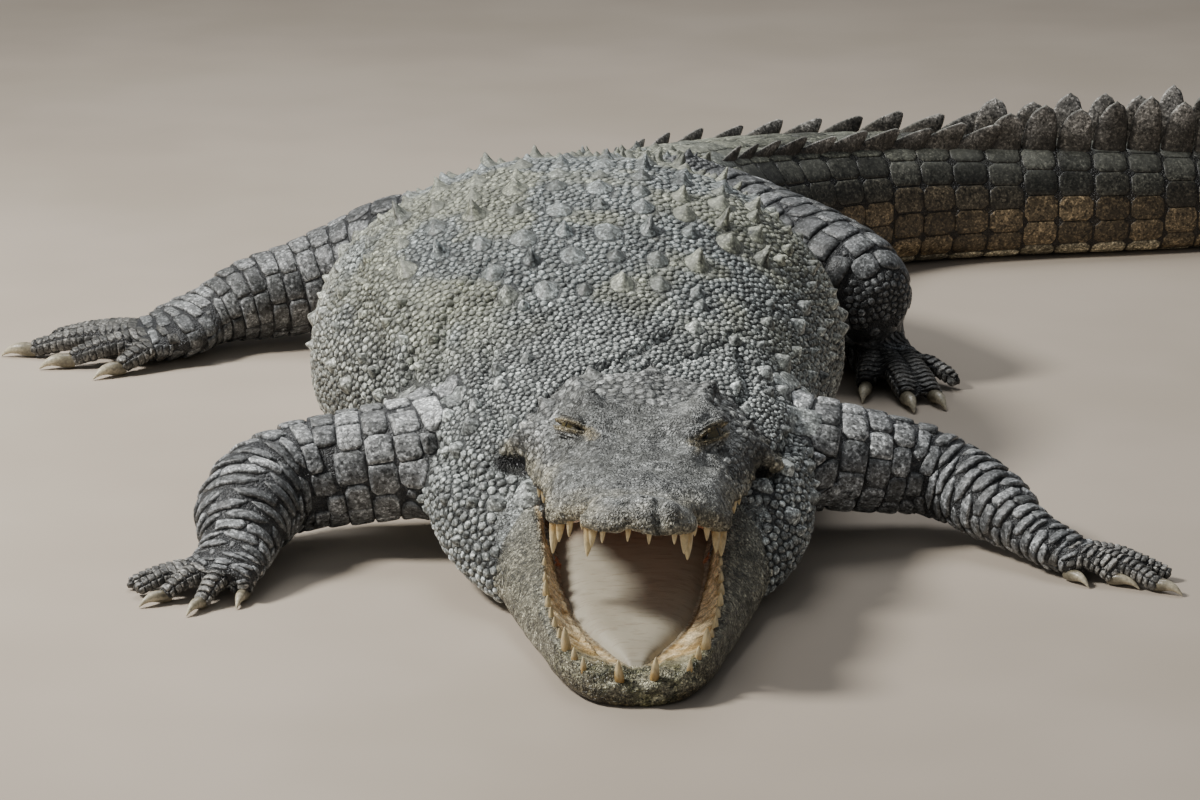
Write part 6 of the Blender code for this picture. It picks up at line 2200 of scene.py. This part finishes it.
def make_scales():
    """The coat, in pieces by the part of the body it covers."""
    data = coat_roots()
    group, s = data["group"], data["place"][:, 0]
    broad = data["rank"] >= KNOB
    pieces = [
        make_coat("scutes_back", group == SCUTES_GROUP, MOUND_STEPS, 0.0004),
        make_coat("knobs_flank", group == KNOBS_GROUP, MOUND_STEPS, 0.0005),
        make_coat("scales_tail", group == TAIL_GROUP, BROAD_STEPS, 0.0005),
        make_coat("scales_limbs", (group == LIMBS_GROUP) & broad, BROAD_STEPS, 0.0004),
        make_coat("pebbles_limbs", (group == LIMBS_GROUP) & ~broad, SMALL_STEPS, 0.0004),
        make_coat("scales_head", group == HEAD_GROUP, SMALL_STEPS, 0.0002),
    ]
    for number, (low, high) in enumerate(zip(PEBBLE_CUTS, PEBBLE_CUTS[1:]), 1):
        chosen = (group == BODY_GROUP) & (s >= low) & (s < high)
        pieces.append(make_coat(f"pebbles_body_{number}", chosen, SMALL_STEPS, 0.0003))
    return pieces


# ---------------------------------------------------------------- stage


def make_stage():
    """A pale floor, soft studio light and the camera."""
    move = Vector(shift())
    mesh = bpy.data.meshes.new("floor")
    corners = [(x * FLOOR_HALF, y * FLOOR_HALF, -0.0005) for x, y in ((-1, -1), (1, -1), (1, 1), (-1, 1))]
    mesh.from_pydata(corners, [], [(0, 1, 2, 3)])
    material, t, shader = new_material("floor")
    share = t.ramp(t.noise(t.place(), 1.4), 0.3, 0.7)
    t.link(t.mix(share, (0.41, 0.350, 0.28, 1), (0.47, 0.405, 0.33, 1)), shader.inputs["Base Color"])
    shader.inputs["Roughness"].default_value = 0.85
    mesh.materials.append(material)
    placed("floor", mesh)
    for name, at, aim_at, size, power, colour in LIGHTS:
        light = bpy.data.lights.new(name, "AREA")
        light.shape, light.size, light.energy, light.color = "DISK", size, power, colour
        made = placed(name, light)
        made.location = Vector(at) + move
        made.rotation_euler = (Vector(aim_at) - Vector(at)).to_track_quat("-Z", "Y").to_euler()
    world = bpy.data.worlds.new("studio")
    world.use_nodes = True
    sky = world.node_tree.nodes["Background"].inputs
    sky["Color"].default_value = (0.80, 0.84, 0.90, 1)
    sky["Strength"].default_value = 0.20
    bpy.context.scene.world = world
    lens = bpy.data.cameras.new("camera")
    lens.lens, lens.sensor_width, lens.sensor_fit = 120.0, 36.0, "HORIZONTAL"
    camera = placed("camera", lens)
    camera.location = Vector((0.0, -4.419, 1.6)) + move
    camera.rotation_euler = (math.radians(90 - 15.5), 0.0, 0.0)
    bpy.context.scene.camera = camera


# ---------------------------------------------------------------- add-on

PALETTE = {
    "head": ("Head", "Bare hide of the skull", (0.275, 0.283, 0.275)),
    "head_dark": ("Head, dark", "Dark speckles of the skull", (0.100, 0.102, 0.098)),
    "lip": ("Lip", "Edge of the upper lip", (0.300, 0.270, 0.180)),
    "jaw": ("Jaw", "Side of the lower jaw", (0.215, 0.205, 0.155)),
    "chin": ("Chin", "Dark underside of the chin", (0.085, 0.070, 0.040)),
    "algae": ("Algae", "Greenish crust round the front teeth", (0.105, 0.105, 0.050)),
    "neck": ("Neck", "Small scales of the neck and jowls", (0.255, 0.272, 0.264)),
    "flank": ("Flank", "Scales of the flanks", (0.232, 0.240, 0.216)),
    # The chin colour is painted shade on the underside of the chin.
    "back": ("Back", "Scutes of the back", (0.215, 0.222, 0.165)),
    "back_blue": ("Back, blue", "Bluish patches of the back", (0.175, 0.198, 0.205)),
    "belly": ("Belly", "Pale underside", (0.420, 0.380, 0.270)),
    "tail": ("Tail", "Upper side of the tail", (0.034, 0.034, 0.028)),
    "tail_side": ("Tail, low", "Lower side of the tail", (0.105, 0.078, 0.045)),
    "crest": ("Crest", "Foot of the crest's plates", (0.045, 0.040, 0.033)),
    "crest_edge": ("Crest, edge", "Tips of the crest's plates", (0.200, 0.190, 0.175)),
    "limb": ("Limb", "Dark scales of the limbs", (0.150, 0.156, 0.160)),
    # The pale limb colour serves both the worn patches and the painted light on the limbs' upper faces.
    "limb_light": ("Limb, light", "Worn scales of the limbs", (0.250, 0.257, 0.258)),
    "foot": ("Foot", "Hands and feet", (0.130, 0.124, 0.112)),
    # The groove colour is painted shade: the grooves between the scales and the creases, pits and hollows are
    # darkened towards it.
    "groove": ("Groove", "Hide between the scales", (0.026, 0.027, 0.030)),
    "dust": ("Dust", "Dry mud settled from above", (0.285, 0.295, 0.252)),
    "mouth": ("Mouth", "Pale lining of the mouth", (0.430, 0.395, 0.305)),
    # Towards the throat the tongue is pinker and darker; the darkness is painted shade.
    "mouth_back": ("Mouth, back", "Tongue towards the throat", (0.330, 0.215, 0.150)),
    "mouth_stain": ("Mouth, creases", "Creases of the tongue", (0.300, 0.255, 0.185)),
    "throat": ("Throat", "Back of the mouth", (0.480, 0.200, 0.110)),
    # The gum is yellowish, and its colour is brightened as painted light, as if the strip were in the sun.
    "gum": ("Gum", "Yellowish gum inside the teeth", (0.960, 0.790, 0.490)),
    "gum_dark": ("Gum, dark", "Brown stain of the gum", (0.520, 0.330, 0.120)),
    "lid": ("Lid", "Crusty edges of the eyelids", (0.290, 0.240, 0.140)),
    "crust": ("Crust", "Pale crust on the front of the jaw", (0.360, 0.340, 0.235)),
    # The iris colours are kept dark as painted shade under the lids.
    "iris": ("Iris", "Golden iris", (0.110, 0.085, 0.030)),
    "iris_dark": ("Iris, dark", "Flecks and rim of the iris", (0.070, 0.055, 0.020)),
}


class CrocodileSizes(bpy.types.PropertyGroup):
    voxel: bpy.props.FloatProperty(
        name="Face size", description="Size of the skin's faces on the body",
        default=0.0118, min=0.006, max=0.03, unit="LENGTH")
    coat_depth: bpy.props.FloatProperty(
        name="Coat depth", description="How deep the skin lies under the body's scales",
        default=0.0040, min=0.0, max=0.02, unit="LENGTH")
    limb_coat_depth: bpy.props.FloatProperty(
        name="Limb coat depth", description="How deep it lies under the limbs' scales",
        default=0.0030, min=0.0, max=0.02, unit="LENGTH")


class CrocodileColours(bpy.types.PropertyGroup):
    __annotations__ = {
        key: bpy.props.FloatVectorProperty(name=label, description=words, default=value, size=3,
                                           min=0.0, max=1.0, subtype="COLOR")
        for key, (label, words, value) in PALETTE.items()}


class Building:
    """What the operators share: each runs its own builders."""
    builders = ()

    def execute(self, context):
        for build in self.builders:
            build()
        return {"FINISHED"}


class SkinOperator(Building, bpy.types.Operator):
    """Builds the one skin that covers the head, body, tail and limbs"""
    bl_idname = "crocodile.skin"
    bl_label = "Skin"
    builders = (make_skin,)


class MouthOperator(Building, bpy.types.Operator):
    """Builds the tongue and both rows of teeth"""
    bl_idname = "crocodile.mouth"
    bl_label = "Tongue and teeth"
    builders = (make_tongue, make_teeth)


class EyesOperator(Building, bpy.types.Operator):
    """Builds the eyeballs"""
    bl_idname = "crocodile.eyes"
    bl_label = "Eyes"
    builders = (make_eyes,)


class ClawsOperator(Building, bpy.types.Operator):
    """Builds the claws"""
    bl_idname = "crocodile.claws"
    bl_label = "Claws"
    builders = (make_claws,)


class CrestOperator(Building, bpy.types.Operator):
    """Builds the plates of the tail's crest"""
    bl_idname = "crocodile.crest"
    bl_label = "Tail crest"
    builders = (make_crest,)


class ScalesOperator(Building, bpy.types.Operator):
    """Builds the coat of scales"""
    bl_idname = "crocodile.scales"
    bl_label = "Scales"
    builders = (make_scales,)


class StageOperator(Building, bpy.types.Operator):
    """Sets up the floor, the light and the camera"""
    bl_idname = "crocodile.stage"
    bl_label = "Stage"
    builders = (make_stage,)


class CrocodilePanel(bpy.types.Panel):
    """Lists the crocodile's sizes, colours and pieces"""
    bl_idname = "VIEW3D_PT_crocodile"
    bl_label = "Crocodile"
    bl_space_type = "VIEW_3D"
    bl_region_type = "UI"
    bl_category = "Crocodile"

    def draw(self, context):
        column = self.layout.column()
        for name in CrocodileSizes.__annotations__:
            column.prop(context.scene.crocodile_sizes, name)
        for name in PALETTE:
            column.prop(context.scene.crocodile_colours, name)
        for operator in OPERATORS:
            column.operator(operator.bl_idname)


OPERATORS = (SkinOperator, MouthOperator, EyesOperator, ClawsOperator, CrestOperator, ScalesOperator,
             StageOperator)
CLASSES = (CrocodileSizes, CrocodileColours, *OPERATORS, CrocodilePanel)


def register():
    for each in CLASSES:
        bpy.utils.register_class(each)
    bpy.types.Scene.crocodile_sizes = bpy.props.PointerProperty(type=CrocodileSizes)
    bpy.types.Scene.crocodile_colours = bpy.props.PointerProperty(type=CrocodileColours)


def unregister():
    del bpy.types.Scene.crocodile_colours
    del bpy.types.Scene.crocodile_sizes
    for each in reversed(CLASSES):
        bpy.utils.unregister_class(each)


def main():
    register()
    bpy.ops.crocodile.skin()
    bpy.ops.crocodile.mouth()
    bpy.ops.crocodile.eyes()
    bpy.ops.crocodile.claws()
    bpy.ops.crocodile.crest()
    bpy.ops.crocodile.scales()
    bpy.ops.crocodile.stage()


if __name__ == "__main__":
    main()
